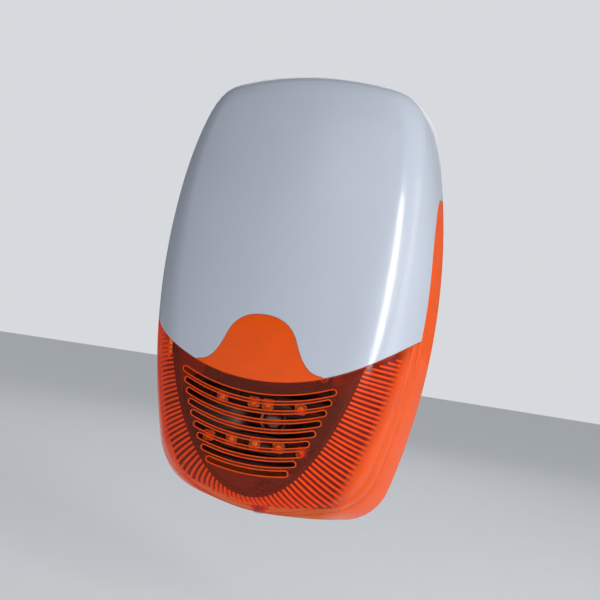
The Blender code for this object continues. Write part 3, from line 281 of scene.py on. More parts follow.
def section(angle, rows, inset=0.0):
    """(radius, y) points of the surface along one ray, from the centre over the face's edge to the rim."""
    face_rows, fillet_rows, skirt_rows = rows
    sine, cosine = math.sin(angle), math.cos(angle)
    rim = np.array((rim_radius(angle, inset), -RIM_GAP))
    edge_radius = face_radius(angle, inset)
    edge = np.array((edge_radius, front_y(edge_radius * sine, edge_radius * cosine, inset)))
    pull = edge + (rim - edge) * (SKIRT_FLARE, SKIRT_LIFT)
    rise = min(max((edge_radius * cosine + HALF_HEIGHT) / (2 * HALF_HEIGHT), 0.0), 1.0)
    fillet = FILLET_TIP + (FILLET_TOP - FILLET_TIP) * rise
    start_radius = edge_radius - fillet
    leave = min(0.45, fillet / (2 * np.linalg.norm(pull - edge)))

    def skirt(t):
        return (1 - t) ** 2 * edge + 2 * t * (1 - t) * pull + t**2 * rim

    points = []
    for row in range(face_rows + 1):
        radius = start_radius * row / face_rows
        points.append(np.array((radius, front_y(radius * sine, radius * cosine, inset))))
    start, end = points[-1], skirt(leave)
    for row in range(1, fillet_rows):
        t = row / fillet_rows
        points.append((1 - t) ** 2 * start + 2 * t * (1 - t) * edge + t**2 * end)
    for row in range(skirt_rows + 1):
        points.append(skirt(leave + (1 - leave) * row / skirt_rows))
    return points


def surface_y(x, z, inset=0.0):
    """Depth of the surface, at that inset, over a point of the front view."""
    angle = math.atan2(x, z)
    points = np.array(section(angle, (4, 6, 24), inset))
    return float(np.interp(math.hypot(x, z), points[:, 0], points[:, 1]))


def outer_profile(angle, grooved):
    """The section's points, with rows spaced by depth on the skirt and two V grooves on the lens."""
    points = section(angle, (7, 7, 24))
    face, skirt = points[:14], np.array(points[14:])
    if not grooved:
        return face + [skirt[row] for row in (0, 2, 4, 7, 10, 13, 16, 19, 21, 23, 24)]
    front, back = skirt[0][1], -RIM_GAP
    levels, sinks = [front], [0.0]
    for depth, rows in zip(sorted(GROOVE_DEPTHS, reverse=True), (5, 2)):
        span = -depth - GROOVE_HALF - levels[-1]
        for row in range(1, rows + 1):
            levels.append(levels[-1] + span / rows)
            sinks.append(0.0)
        for shift, sink in ((0.65, 1.0), (1.35, 1.0), (2.0, 0.0)):
            levels.append(-depth - GROOVE_HALF + shift * GROOVE_HALF)
            sinks.append(sink * GROOVE_SINK)
    start = levels[-1]
    for row in range(1, 8):
        levels.append(start + (back - start) * row / 7)
        sinks.append(0.0)
    radii = np.interp(levels, skirt[:, 1], skirt[:, 0]) - sinks
    return face + [np.array(pair) for pair in zip(radii, levels)]


# -------- mesh helpers


def new_object(name, mesh, *materials):
    obj = bpy.data.objects.new(name, mesh)
    bpy.context.scene.collection.objects.link(obj)
    for material in materials:
        mesh.materials.append(material)
    return obj


def from_bmesh(name, bm, *materials, sharp=35.0):
    """An object from the bmesh, smooth apart from the edges that turn by more than an angle."""
    bmesh.ops.recalc_face_normals(bm, faces=bm.faces[:])
    mesh = bpy.data.meshes.new(name)
    bm.to_mesh(mesh)
    bm.free()
    mesh.shade_smooth()
    mesh.set_sharp_from_angle(angle=math.radians(sharp))
    return new_object(name, mesh, *materials)


def cut(obj, *others, operation="DIFFERENCE"):
    """Applies Booleans at once, one after another, and drops their operands."""
    for other in others:
        modifier = obj.modifiers.new(operation, "BOOLEAN")
        modifier.operation = operation
        modifier.solver = "MANIFOLD"
        modifier.object = other
        evaluated = obj.evaluated_get(bpy.context.evaluated_depsgraph_get())
        mesh, before = bpy.data.meshes.new_from_object(evaluated), obj.data
        obj.modifiers.clear()
        obj.data = mesh
        bpy.data.meshes.remove(before)
        bpy.data.objects.remove(other, do_unlink=True)


def join(obj, *others):
    cut(obj, *others, operation="UNION")


def from_copy(name, source):
    return new_object(name, source.data.copy())


def dressed(obj, material, sharp=None):
    """Gives a piece that came out of Booleans its one material and, with an angle, its shading."""
    if sharp:
        obj.data.shade_smooth()
        obj.data.set_sharp_from_angle(angle=math.radians(sharp))
    obj.data.materials.clear()
    obj.data.materials.append(material)
    return obj


def loft(bm, rings, closed=True, caps=(False, False)):
    """Quads between rings of points. A closed ring joins its last point to its first."""
    grid = [[bm.verts.new(point) for point in ring] for ring in rings]
    for lower, upper in zip(grid, grid[1:]):
        count = len(lower)
        for index in range(count if closed else count - 1):
            following = (index + 1) % count
            bm.faces.new((lower[index], lower[following], upper[following], upper[index]))
    for cap, ring in zip(caps, (grid[0], grid[-1])):
        if cap:
            bm.faces.new(ring)
    return grid


def closed_loft(name, rings):
    """A hollow form whose last ring joins its first."""
    bm = bmesh.new()
    loft(bm, rings + [rings[0]])
    bmesh.ops.remove_doubles(bm, verts=bm.verts[:], dist=1e-7)
    return from_bmesh(name, bm)


def about(x, z, half_x, half_z, near, far):
    """Corners of a box about a point of the front view, between two depths."""
    return (x - half_x, near, z - half_z), (x + half_x, far, z + half_z)


def order_key(item):
    """A number that no other point, edge or face of the same mesh has."""
    corners = [item] if isinstance(item, bmesh.types.BMVert) else item.verts
    return sum(vert.co.x + math.sqrt(2) * vert.co.y + math.sqrt(3) * vert.co.z for vert in corners)


def settle(bm):
    """Puts a mesh in the same order each run. Extruding, or bevelling some boxes of several, doesn't."""
    for items in (bm.verts, bm.edges, bm.faces):
        items.sort(key=order_key)
        items.index_update()


def add_box(bm, low, high, bevel=0.0, segments=2):
    made = bmesh.ops.create_cube(bm, size=1.0)["verts"]
    low, high = Vector(low), Vector(high)
    scale = Matrix.Diagonal((*(high - low), 1.0))
    bmesh.ops.transform(bm, matrix=Matrix.Translation((low + high) / 2) @ scale, verts=made)
    if bevel:
        edges = list(dict.fromkeys(edge for vert in made for edge in vert.link_edges))
        bmesh.ops.bevel(bm, geom=edges, offset=bevel, segments=segments, affect="EDGES", profile=0.5)


def turn_to(axis):
    return Vector((0, 0, 1)).rotation_difference(Vector(axis)).to_matrix().to_4x4()


def add_turned(bm, profile, start, axis, steps=32):
    """A closed profile of (radius, height) points turned about the axis through a start point."""
    place = Matrix.Translation(start) @ turn_to(axis)
    rings = []
    for step in range(steps):
        angle = 2 * math.pi * step / steps
        rings.append([place @ Vector((r * math.cos(angle), r * math.sin(angle), h)) for r, h in profile])
    poles = {index for index, (r, h) in enumerate(profile) if r == 0}
    shared = {index: bm.verts.new(rings[0][index]) for index in poles}
    grid = [[shared[i] if i in poles else bm.verts.new(p) for i, p in enumerate(ring)] for ring in rings]
    for index, ring in enumerate(grid):
        following = grid[(index + 1) % steps]
        for row in range(len(profile)):
            after = (row + 1) % len(profile)
            if row in poles and after in poles:
                continue
            corners = (ring[row], following[row], following[after], ring[after])
            bm.faces.new(list(dict.fromkeys(corners)))


def prism(name, outline, axis, low, high):
    """A closed outline carried along one axis. Its points are the two other coordinates, in XYZ order."""
    place = {
        "X": lambda a, b, c: (c, a, b),
        "Y": lambda a, b, c: (a, c, b),
        "Z": lambda a, b, c: (a, b, c),
    }[axis]
    bm = bmesh.new()
    loft(bm, [[place(*point[:2], end) for point in outline] for end in (low, high)], caps=(True, True))
    return from_bmesh(name, bm)


def rounded_tube(bm, path, radius, steps, closed=False):
    """A round bead or wire along a path of points."""
    line = [Vector(point) for point in path]
    rings = []
    up = Vector((0, 1, 0))
    for index, point in enumerate(line):
        before = line[index - 1] if index or closed else point
        after = line[(index + 1) % len(line)] if closed or index + 1 < len(line) else point
        along = (after - before).normalized()
        side = along.cross(up)
        side = side.normalized() if side.length > 1e-4 else Vector((1, 0, 0))
        over = side.cross(along).normalized()
        up = up if closed else over
        ring = []
        for step in range(steps):
            angle = 2 * math.pi * step / steps
            ring.append(point + radius * (math.cos(angle) * side + math.sin(angle) * over))
        rings.append(ring)
    if closed:
        rings.append(rings[0])
    loft(bm, rings, caps=(not closed, not closed))
    if closed:
        bmesh.ops.remove_doubles(bm, verts=bm.verts[:], dist=1e-6)


def cover_loft(name, grooved):
    """The closed shell of the cover's shape: outer side, rounded rim and inner side."""
    bm = bmesh.new()
    rays = []
    for step in range(STEPS):
        angle = 2 * math.pi * step / STEPS
        outer = outer_profile(angle, grooved)
        inner = section(angle, (3, 4, 8), WALL)
        lip = 0.5 * (outer[-1] + inner[-1]) + np.array((0.0, 0.0004))
        ray = outer[1:] + [lip] + inner[::-1][:-1]
        rays.append([Vector((radius * math.sin(angle), y, radius * math.cos(angle))) for radius, y in ray])
    front = bm.verts.new((0, front_y(0, 0), 0))
    behind = bm.verts.new((0, front_y(0, 0, WALL), 0))
    grid = [[bm.verts.new(point) for point in ray] for ray in rays]
    for index, ray in enumerate(grid):
        following = grid[(index + 1) % STEPS]
        bm.faces.new((front, following[0], ray[0]))
        bm.faces.new((behind, ray[-1], following[-1]))
        for row in range(len(ray) - 1):
            bm.faces.new((ray[row], following[row], following[row + 1], ray[row + 1]))
    return from_bmesh(name, bm)


def borrow_normals(obj, source, reach=0.0002):
    """Gives faces on the source's surface its smooth normals, so that the cuts don't show in the gloss."""
    mesh, whole = obj.data, source.data
    corners = [tuple(face.vertices) for face in whole.polygons]
    tree = BVHTree.FromPolygons([vert.co.copy() for vert in whole.vertices], corners)
    mesh.shade_smooth()
    normals = []
    for face in mesh.polygons:
        _, _, nearest, distance = tree.find_nearest(face.center)
        on_surface = distance < reach and face.normal.dot(whole.polygons[nearest].normal) > 0.9
        for number in face.vertices:
            point, normal = mesh.vertices[number].co, face.normal
            if on_surface:
                near = [whole.vertices[corner] for corner in corners[tree.find_nearest(point)[2]]]
                pulls = [vert.normal / (1e-7 + (vert.co - point).length ** 2) for vert in near]
                smooth = sum(pulls, Vector())
                smooth.normalize()
                normal = smooth if smooth.dot(face.normal) > 0.8 else normal
            normals.append(normal.copy())
    mesh.normals_split_custom_set(normals)


# -------- seam between cover and lens


def smile_z(x, lift=0.0):
    """The arc that the seam and the slots follow, with its lowest point on the centre plane."""
    return SMILE_LOW_Z + lift + SMILE_RADIUS - math.sqrt(SMILE_RADIUS**2 - x**2)


def seam_half(steps=14):
    """The seam's right half: over the tongue, down its flank, round the white lobe and along the smile."""
    lobe_slope = LOBE_X / math.sqrt(SMILE_RADIUS**2 - LOBE_X**2)
    knots = (
        ((0, TONGUE_TOP_Z), (0.0125, TONGUE_TOP_Z), (0.0185, -0.0265), (TONGUE_HALF_WIDTH, TONGUE_SIDE_Z)),
        (
            (TONGUE_HALF_WIDTH, TONGUE_SIDE_Z),
            (0.0255, -0.0440),
            (LOBE_X - 0.010, LOBE_Z - 0.010 * lobe_slope + 0.0022),
            (LOBE_X, LOBE_Z),
        ),
    )
    points = []
    for knot in knots:
        handles = [Vector((x, z, 0)) for x, z in knot]
        points += [(p.x, p.y) for p in interpolate_bezier(*handles, steps)[:-1]]
    for step in range(19):
        x = LOBE_X + (0.104 - LOBE_X) * step / 18
        points.append((x, smile_z(x)))
    return points


def grown(outline, distance):
    """The open outline moved to its left side by a distance."""
    line = [Vector(point) for point in outline]
    moved = []
    for index, point in enumerate(line):
        along = line[min(index + 1, len(line) - 1)] - line[max(index - 1, 0)]
        along.normalize()
        moved.append((point.x - along.y * distance, point.y + along.x * distance))
    return moved


def seam(distance=0.0):
    right = seam_half()
    left = [(-x, z) for x, z in reversed(right[1:])]
    return grown(left + right, distance)


def arm_outline(distance=0.0):
    """Side view of the strip of lens that runs up the rim: (y, z) points, closed behind the wall."""
    front = -RIM_GAP - ARM_DEPTH
    top = [
        Vector((front, ARM_TAPER_Z, 0)),
        Vector((front, ARM_TAPER_Z + 0.020, 0)),
        Vector((front + 0.006, ARM_TOP_Z, 0)),
        Vector((-RIM_GAP - 0.004, ARM_TOP_Z, 0)),
    ]
    curve = [(p.x, p.y) for p in interpolate_bezier(*top, 16)]
    line = [(front, -0.080)] + curve + [(0.010, ARM_TOP_Z)]
    return grown(line, distance) + [(0.010, -0.080)]


def lens_zone(name, distance):
    """Everything that the lens takes from the shell, grown by a distance."""
    lower = seam(distance) + [(0.104, -0.170), (-0.104, -0.170)]
    zone = prism(name, lower, "Y", -0.100, 0.010)
    for side in (-1, 1):
        ends = sorted((side * 0.060, side * 0.110))
        join(zone, prism("arm_zone", arm_outline(distance), "X", *ends))
    return zone


def slot_half_length(z):
    """Half the length of a slot that ends at height z, just inside the front face's edge."""
    reach = 1 - ((z - FACE_CENTRE_Z) / FACE_HALF_HEIGHT) ** 2
    return FACE_HALF_WIDTH * math.sqrt(reach) - SLOT_END_INSET


def slot_outline(index, grow=0.0, steps=24):
    """A sound slot: a band along the smile arc with round ends."""
    lift = SLOT_FIRST_Z - SLOT_PITCH * index - SMILE_LOW_Z
    half = slot_half_length(SLOT_FIRST_Z - SLOT_PITCH * index + 0.004)
    radius = SLOT_HEIGHT / 2 + grow
    across = [half * (2 * step / steps - 1) for step in range(steps + 1)]
    centre = [(x, smile_z(x, lift)) for x in across]
    outline = grown(centre, radius)
    for end, turn in ((centre[-1], 1), (centre[0], -1)):
        slope = math.asin(end[0] / SMILE_RADIUS)
        start = math.pi / 2 + slope if turn > 0 else -math.pi / 2 + slope
        for step in range(1, 6):
            angle = start - math.pi * step / 6
            outline.append((end[0] + radius * math.cos(angle), end[1] + radius * math.sin(angle)))
        if turn > 0:
            outline += list(reversed(grown(centre, -radius)))
    return outline


# -------- materials


class Nodes:
    """Short calls for building one material's node tree."""

    def __init__(self, name):
        self.material = bpy.data.materials.new(name)
        self.material.use_nodes = True
        self.tree = self.material.node_tree
        self.tree.nodes.clear()
        self.output = self.add("ShaderNodeOutputMaterial")
        self.place = self.add("ShaderNodeTexCoord").outputs["Object"]

    def add(self, kind, values=(), **settings):
        node = self.tree.nodes.new(kind)
        for key, value in settings.items():
            setattr(node, key, value)
        for socket, value in dict(values).items():
            if isinstance(value, bpy.types.NodeSocket):
                self.tree.links.new(value, node.inputs[socket])
            else:
                node.inputs[socket].default_value = value
        return node

    def stretched(self, scale):
        return self.add("ShaderNodeMapping", {"Vector": self.place, "Scale": scale}).outputs["Vector"]

    def noise(self, scale, detail=3.0, place=None):
        values = {"Vector": place or self.place, "Scale": scale, "Detail": detail}
        return self.add("ShaderNodeTexNoise", values).outputs["Fac"]

    def between(self, value, low, high, lowest=0.3, highest=0.7):
        values = {"Value": value, "From Min": lowest, "From Max": highest, "To Min": low, "To Max": high}
        return self.add("ShaderNodeMapRange", values).outputs["Result"]

    def mix(self, share, first, second):
        node = self.add("ShaderNodeMix", data_type="RGBA")
        for socket, value in zip((0, 6, 7), (share, first, second)):
            if isinstance(value, bpy.types.NodeSocket):
                self.tree.links.new(value, node.inputs[socket])
            else:
                node.inputs[socket].default_value = value if socket == 0 else (*value, 1.0)
        return node.outputs[2]

    def length(self, vector):
        return self.add("ShaderNodeVectorMath", {0: vector.outputs[0]}, operation="LENGTH").outputs["Value"]

    def bump(self, height, strength, distance, normal=None):
        values = {"Height": height, "Strength": strength, "Distance": distance}
        if normal:
            values["Normal"] = normal
        return self.add("ShaderNodeBump", values).outputs["Normal"]

    def show(self, shader):
        self.tree.links.new(shader.outputs[0], self.output.inputs["Surface"])
        return self.material


def shade(colour, factor):
    return tuple(min(part * factor, 1.0) for part in colour)


def finish(
    name, colour, rough, metallic=0.0, coat=0.0, mottle=0.06, grain=900, relief=0.00003, stretch=(1, 1, 1)
):
    """A moulded, rolled or plated surface: uneven colour, uneven gloss and a fine relief."""
    nodes = Nodes(name)
    place = nodes.stretched(stretch)
    patch = nodes.noise(45.0, 4.0, place)
    fine = nodes.noise(grain, 2.0, place)
    tint = nodes.mix(nodes.between(patch, 0.0, 1.0), shade(colour, 1 - mottle), shade(colour, 1 + mottle))
    speck = nodes.mix(nodes.between(fine, 0.0, 0.5), tint, shade(colour, 1 - 2 * mottle))
    values = {
        "Base Color": speck,
        "Roughness": nodes.between(patch, rough * 0.85, min(rough * 1.2, 1.0)),
        "Metallic": metallic,
        "Coat Weight": coat,
        "Coat Roughness": 0.05,
        "Normal": nodes.bump(fine, 0.6, relief),
    }
    return nodes.show(nodes.add("ShaderNodeBsdfPrincipled", values))


def metal(name, colour, rough, grain, stretch):
    """A metal whose fine grain is drawn out along one axis."""
    return finish(name, colour, rough, metallic=1.0, grain=grain, relief=0.00002, stretch=stretch)


def glossy_white():
    """The cover: polished white plastic, with a painted blue reflection in its base colour, faint sink marks
    and dust.
    """
    nodes = Nodes("white_plastic")
    wide = nodes.noise(9.0, 2.0)
    patch = nodes.noise(60.0, 4.0)
    dust = nodes.noise(1400.0, 2.0)
    # Both base colours carry a painted reflection: their blue cast stands for a blue surround reflected in
    # the white plastic.
    base = nodes.mix(nodes.between(wide, 0.0, 1.0), (0.56, 0.605, 0.695), (0.60, 0.645, 0.735))
    tint = nodes.mix(nodes.between(dust, 0.0, 0.12, 0.62, 0.75), base, (0.42, 0.45, 0.50))
    ripple = nodes.bump(wide, 0.25, 0.0006)
    values = {
        "Base Color": tint,
        "Roughness": nodes.between(patch, 0.20, 0.27),
        "Specular IOR Level": 0.5,
        "Coat Weight": 0.35,
        "Coat Roughness": 0.08,
        "Normal": nodes.bump(dust, 0.3, 0.00001, ripple),
    }
    return nodes.show(nodes.add("ShaderNodeBsdfPrincipled", values))


def frosted_zones(nodes):
    """1 on the tongue and outside the ribs, where the lens is frosted, and 0 where it is clear."""
    place = {"Vector": nodes.place, "Scale": (1 / FACE_HALF_WIDTH, 0, 1 / FACE_HALF_HEIGHT)}
    place["Location"] = (0, 0, -FACE_CENTRE_Z / FACE_HALF_HEIGHT)
    ellipse = nodes.length(nodes.add("ShaderNodeMapping", place))
    place = {"Vector": nodes.place, "Scale": (1, 0, 1), "Location": (0, 0, -SMILE_LOW_Z - SMILE_RADIUS)}
    smile = nodes.length(nodes.add("ShaderNodeMapping", place))
    outside = nodes.between(ellipse, 0.0, 1.0, FROST_START, FROST_END)
    above = nodes.between(smile, 1.0, 0.0, SMILE_RADIUS - 0.0004, SMILE_RADIUS + 0.0004)
    return nodes.add("ShaderNodeMath", {0: outside, 1: above}, operation="MAXIMUM").outputs[0]


def amber(name, haze, frost, tint, body, painted_glow, rough=0.12):
    """Clear amber plastic: a tint for what is behind it, a haze of its own colour, gloss on top, and a
    painted glow: emission in its own colour, though it is no lamp.
    """
    nodes = Nodes(name)
    patch = nodes.noise(70.0, 4.0)
    flow = nodes.noise(14.0, 2.0)
    share = nodes.between(flow, haze * 0.92, haze * 1.08)
    if frost > haze:
        share = nodes.between(frosted_zones(nodes), share, frost, 0.0, 1.0)
    clear = nodes.add("ShaderNodeBsdfTransparent", {"Color": (*tint, 1.0)})
    colour = nodes.mix(nodes.between(patch, 0.0, 1.0), shade(body, 0.95), shade(body, 1.05))
    relief = nodes.bump(nodes.noise(1200.0, 2.0), 0.2, 0.00001)
    values = {
        "Base Color": colour,
        "Roughness": nodes.between(patch, rough * 0.85, rough * 1.3),
        "Specular IOR Level": 0.2,
        # Painted glow: the amber emits its own colour, so that it looks lit from within.
        "Emission Color": (*body, 1.0),
        "Emission Strength": painted_glow,
        "Normal": relief,
    }
    solid = nodes.add("ShaderNodeBsdfPrincipled", values)
    inside = nodes.add("ShaderNodeMixShader", {0: share, 1: clear.outputs[0], 2: solid.outputs[0]})
    gloss = nodes.add("ShaderNodeBsdfGlossy", {"Color": (1, 1, 1, 1), "Roughness": 0.08, "Normal": relief})
    facing = nodes.add("ShaderNodeLayerWeight", {"Blend": 0.5, "Normal": relief}).outputs["Facing"]
    steep = nodes.add("ShaderNodeMath", {0: facing, 1: 4.0}, operation="POWER").outputs[0]
    edge = nodes.between(steep, 0.018, 0.08, 0.0, 1.0)
    return nodes.show(nodes.add("ShaderNodeMixShader", {0: edge, 1: inside.outputs[0], 2: gloss.outputs[0]}))


def circuit_board():
    """Solder mask over copper: tracks show as a slightly lighter, raised pattern."""
    nodes = Nodes("board_resin")
    turned = nodes.add("ShaderNodeMapping", {"Vector": nodes.place, "Rotation": (math.pi / 2, 0, 0)})
    values = {"Vector": turned.outputs["Vector"], "Scale": 55.0, "Mortar Size": 0.035}
    values |= {"Brick Width": 0.9, "Row Height": 0.16}
    brick = nodes.add("ShaderNodeTexBrick", values, offset=0.37, squash=1.3, squash_frequency=3)
    tracks = brick.outputs["Fac"]
    patch = nodes.noise(60.0, 4.0)
    mask = nodes.mix(nodes.between(patch, 0.0, 1.0), (0.010, 0.105, 0.045), (0.016, 0.135, 0.060))
    values = {
        "Base Color": nodes.mix(tracks, mask, (0.035, 0.24, 0.10)),
        "Roughness": nodes.between(patch, 0.25, 0.38),
        "Coat Weight": 0.3,
        "Normal": nodes.bump(tracks, 0.6, 0.00005),
    }
    return nodes.show(nodes.add("ShaderNodeBsdfPrincipled", values))


WHITE = glossy_white()
LENS_TINT = (0.98, 0.40, 0.12)
LENS_BODY = (0.90, 0.108, 0.002)
# The number after each body colour is a painted glow: emission that makes the amber look lit from within.
AMBER = amber("amber_plastic", 0.05, 0.76, LENS_TINT, LENS_BODY, 0.13)
RIB_AMBER = amber("amber_ribs", 0.90, 0.0, LENS_TINT, (0.92, 0.27, 0.03), 0.16, 0.25)
BEAD_AMBER = amber("amber_beads", 0.80, 0.0, LENS_TINT, LENS_BODY, 0.10, 0.2)
BASE = finish("base_plastic", (0.66, 0.67, 0.66), 0.42, grain=1600, relief=0.00005)
BLACK = finish("black_plastic", (0.016, 0.016, 0.018), 0.38, grain=1500, relief=0.00004)
GREY = finish("grey_plastic", (0.10, 0.11, 0.12), 0.42, grain=1500)
GREEN = finish("green_plastic", (0.03, 0.26, 0.09), 0.38, grain=1800)
RELAY_BLUE = finish("relay_plastic", (0.035, 0.11, 0.36), 0.30, grain=1800)
RESIN = finish("black_resin", (0.016, 0.018, 0.021), 0.45, grain=2200)
LED_BODY = finish("led_body", (0.66, 0.22, 0.05), 0.40, grain=2200)
LED_DOME = finish("led_resin", (0.95, 0.44, 0.09), 0.16, coat=0.5, grain=2200, relief=0.00001)
STEEL = metal("steel", (0.60, 0.59, 0.56), 0.28, 600, (1, 1, 7))
BRASS = metal("brass", (0.70, 0.53, 0.25), 0.30, 700, (5, 1, 1))
ALUMINIUM = metal("aluminium", (0.72, 0.72, 0.74), 0.32, 700, (1, 6, 1))
RUBBER = finish("rubber", (0.022, 0.022, 0.022), 0.75, grain=1200, relief=0.00006)
RED_WIRE = finish("red_wire", (0.50, 0.020, 0.014), 0.45, grain=1800)
BLACK_WIRE = finish("black_wire", (0.016, 0.016, 0.017), 0.45, grain=1800)
SOLDER = finish("solder", (0.62, 0.62, 0.60), 0.25, metallic=1.0, grain=900)
BOARD = circuit_board()


# -------- cover and lens


def keep(obj, body, *nodes):
    """Says what a finished piece rides on, and hides the CAD nodes that it stands for."""
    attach(obj, body)
    if nodes:
        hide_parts(*nodes)


def turned_piece(name, profile, start, axis, material, steps=40, sharp=35.0):
    bm = bmesh.new()
    add_turned(bm, profile, start, axis, steps)
    return from_bmesh(name, bm, material, sharp=sharp)


def bar(radius, length):
    """A closed cylinder profile with a small chamfer at each end."""
    edge = min(radius, length) * 0.12
    start = ((0, 0), (radius - edge, 0), (radius, edge))
    return start + ((radius, length - edge), (radius - edge, length), (0, length))


def rod(start, axis, radius, length, steps=32):
    """A plain chamfered cylinder that a Boolean uses."""
    return turned_piece("rod", bar(radius, length), start, axis, WHITE, steps)


def stud(x, z, start_y, radius, length, steps=32):
    """A rod that stands straight out from the wall."""
    return rod((x, start_y, z), OUTWARDS, radius, length, steps)


def block(low, high, bevel=0.0):
    """A box that a Boolean uses."""
    bm = bmesh.new()
    add_box(bm, low, high, bevel)
    return from_bmesh("block", bm)


def make_cover(whole):
    """The white cover, with the hinge's knuckles and the post that holds the tamper switch in."""
    cover = from_copy("cover_shell", whole)
    cut(cover, lens_zone("lens_space", SEAM_GAP))
    half = KNUCKLE_WIDTH / 2
    for side in (-1, 1):
        x = side * HINGE_X
        web_low = (x - half + 0.0004, HINGE_Y - WEB_HALF, HINGE_Z)
        web = block(web_low, (x + half - 0.0004, HINGE_Y + WEB_HALF, HINGE_Z + WEB_HEIGHT), 0.0003)
        join(cover, web, rod((x - half, HINGE_Y, HINGE_Z), ACROSS, KNUCKLE_RADIUS, KNUCKLE_WIDTH))
        cut(cover, rod((x - 0.009, HINGE_Y, HINGE_Z), ACROSS, PIN_RADIUS + GAP, 0.018))
    root = front_y(0, TAMPER_Z) + 0.0012
    reach = TAMPER_TIP_Y - TAMPER_POST_GAP - root
    join(cover, rod((0, root, TAMPER_Z), INWARDS, TAMPER_POST_RADIUS, reach))
    for x in (-0.0028, 0.0028):
        join(cover, block(*about(x, TAMPER_Z, 0.0006, TAMPER_HALF_HEIGHT, root, -0.047)))
    borrow_normals(cover, whole)
    keep(dressed(cover, WHITE), "cover", "top_cover")


def make_ledge():
    """The ledge of the cover that the tongue lies on, with a hole for the tongue's boss."""
    half = LEDGE_HALF_WIDTH
    top = [point for point in seam(LEDGE_MARGIN) if abs(point[0]) <= half]
    low = [(half * (1 - step / 15), smile_z(half * (1 - step / 15))) for step in range(31)]
    bm = bmesh.new()
    bm.faces.new([bm.verts.new((x, 0, z)) for x, z in top + low])
    bmesh.ops.triangulate(bm, faces=bm.faces[:])
    for _ in range(4):
        long = [edge for edge in bm.edges if edge.calc_length() > 0.005]
        bmesh.ops.subdivide_edges(bm, edges=long, cuts=1)
        bmesh.ops.triangulate(bm, faces=bm.faces[:])
        bmesh.ops.beautify_fill(bm, faces=bm.faces[:], edges=bm.edges[:])
    made = bmesh.ops.extrude_face_region(bm, geom=bm.faces[:])
    moved = {item for item in made["geom"] if isinstance(item, bmesh.types.BMVert)}
    for vert in bm.verts:
        depth = LEDGE_DEPTH + (LEDGE_THICKNESS if vert in moved else 0.0)
        vert.co.y = front_y(vert.co.x, vert.co.z, depth)
    settle(bm)
    ledge = from_bmesh("cover_ledge", bm, WHITE, sharp=50.0)
    start = (0, front_y(0, BOSS_Z) + 0.001, BOSS_Z)
    cut(ledge, rod(start, INWARDS, BOSS_RADIUS + 0.0004, 0.009, 40))
    keep(dressed(ledge, WHITE), "cover")


def make_lens(whole):
    """The amber lens, with its slots, the tongue's boss and the boss for the screw at the bottom."""
    lens = from_copy("lens_shell", whole)
    cut(lens, lens_zone("lens_zone", 0.0), operation="INTERSECT")
    bm = bmesh.new()
    for index in range(SLOT_COUNT):
        outline = slot_outline(index)
        loft(bm, [[(x, y, z) for x, z in outline] for y in (-0.085, -0.045)], caps=(True, True))
    cut(lens, from_bmesh("slots", bm))
    radius, bore, depth = BOSS_RADIUS, BOSS_BORE, BOSS_DEPTH - 0.0019
    ring = ((bore, 0.0), (radius, 0.0), (radius, depth), (radius - 0.0004, depth + 0.0003))
    ring += ((bore + 0.0003, depth + 0.0003), (bore, depth))
    start = (0, front_y(0, BOSS_Z) + 0.00163, BOSS_Z)
    join(lens, turned_piece("tongue_boss", ring, start, INWARDS, AMBER))
    # Below the lens: both cutters start there, at heights that give no two faces one plane.
    shaft_z, head_z = -0.15013, -0.15021
    join(lens, rod((0, SCREW_Y, SCREW_BOSS_Z), UP, SCREW_BOSS_RADIUS, 0.0060, 36))
    cut(lens, rod((0, SCREW_Y, shaft_z), UP, SCREW_RADIUS + GAP, 0.0303, 28))
    cut(lens, rod((0, SCREW_Y, head_z), UP, SCREW_HEAD_RADIUS + 0.0005, 0.0107, 30))
    borrow_normals(lens, whole)
    keep(dressed(lens, AMBER), "cover", "strobe_lens")


def make_slot_beads():
    """A low bead round each slot, just inside the face."""
    bm = bmesh.new()
    for index in range(SLOT_COUNT):
        path = [(x, front_y(x, z, 0.0002), z) for x, z in slot_outline(index, 0.0004)]
        rounded_tube(bm, path, BEAD_RADIUS, 6, closed=True)
    keep(from_bmesh("slot_beads", bm, BEAD_AMBER), "cover")


def crease(angle):
    """The point of the face's edge on one ray."""
    radius = face_radius(angle)
    return Vector((radius * math.sin(angle), radius * math.cos(angle)))


def face_share(spot):
    """How far out a point is, in the face's ellipses: 1 on the face's edge."""
    return math.hypot(spot.x / FACE_HALF_WIDTH, (spot.y - FACE_CENTRE_Z) / FACE_HALF_HEIGHT)


def above_smile(spot, margin=SMILE_MARGIN):
    """Whether a point lies over the seam's arc, or under it by less than a margin."""
    return spot.y > smile_z(min(abs(spot.x), 0.1)) - margin


def make_shade_collar():
    """A black collar inside the lens, close behind the ribs: painted shade that shows dark between them."""
    corners = [(0.0, share) for share in (0, 0.5, 1)]
    corners += [(SHADE_COLLAR_THICKNESS, share) for share in (1, 0.5, 0)]
    rings = []
    for degrees in range(100, 261):
        angle = math.radians(degrees)
        direction = Vector((math.sin(angle), math.cos(angle)))
        inner = crease(angle).length - CREASE_INSET
        if above_smile(direction * inner, 0.003):
            continue
        outer, limit = inner, rim_radius(angle) - 0.010
        while face_share(direction * outer) < SHADE_COLLAR_REACH and outer < limit:
            outer += 0.0005
        ring = []
        for depth, share in corners:
            spot = direction * (inner + (outer - inner) * share)
            if above_smile(spot):
                spot.y = smile_z(min(abs(spot.x), 0.1)) - SMILE_MARGIN
            ring.append((spot.x, surface_y(spot.x, spot.y, WALL + SHADE_COLLAR_DEPTH + depth), spot.y))
        rings.append(ring)
    bm = bmesh.new()
    loft(bm, rings, caps=(True, True))
    keep(from_bmesh("lens_shade_collar", bm, BLACK), "cover")


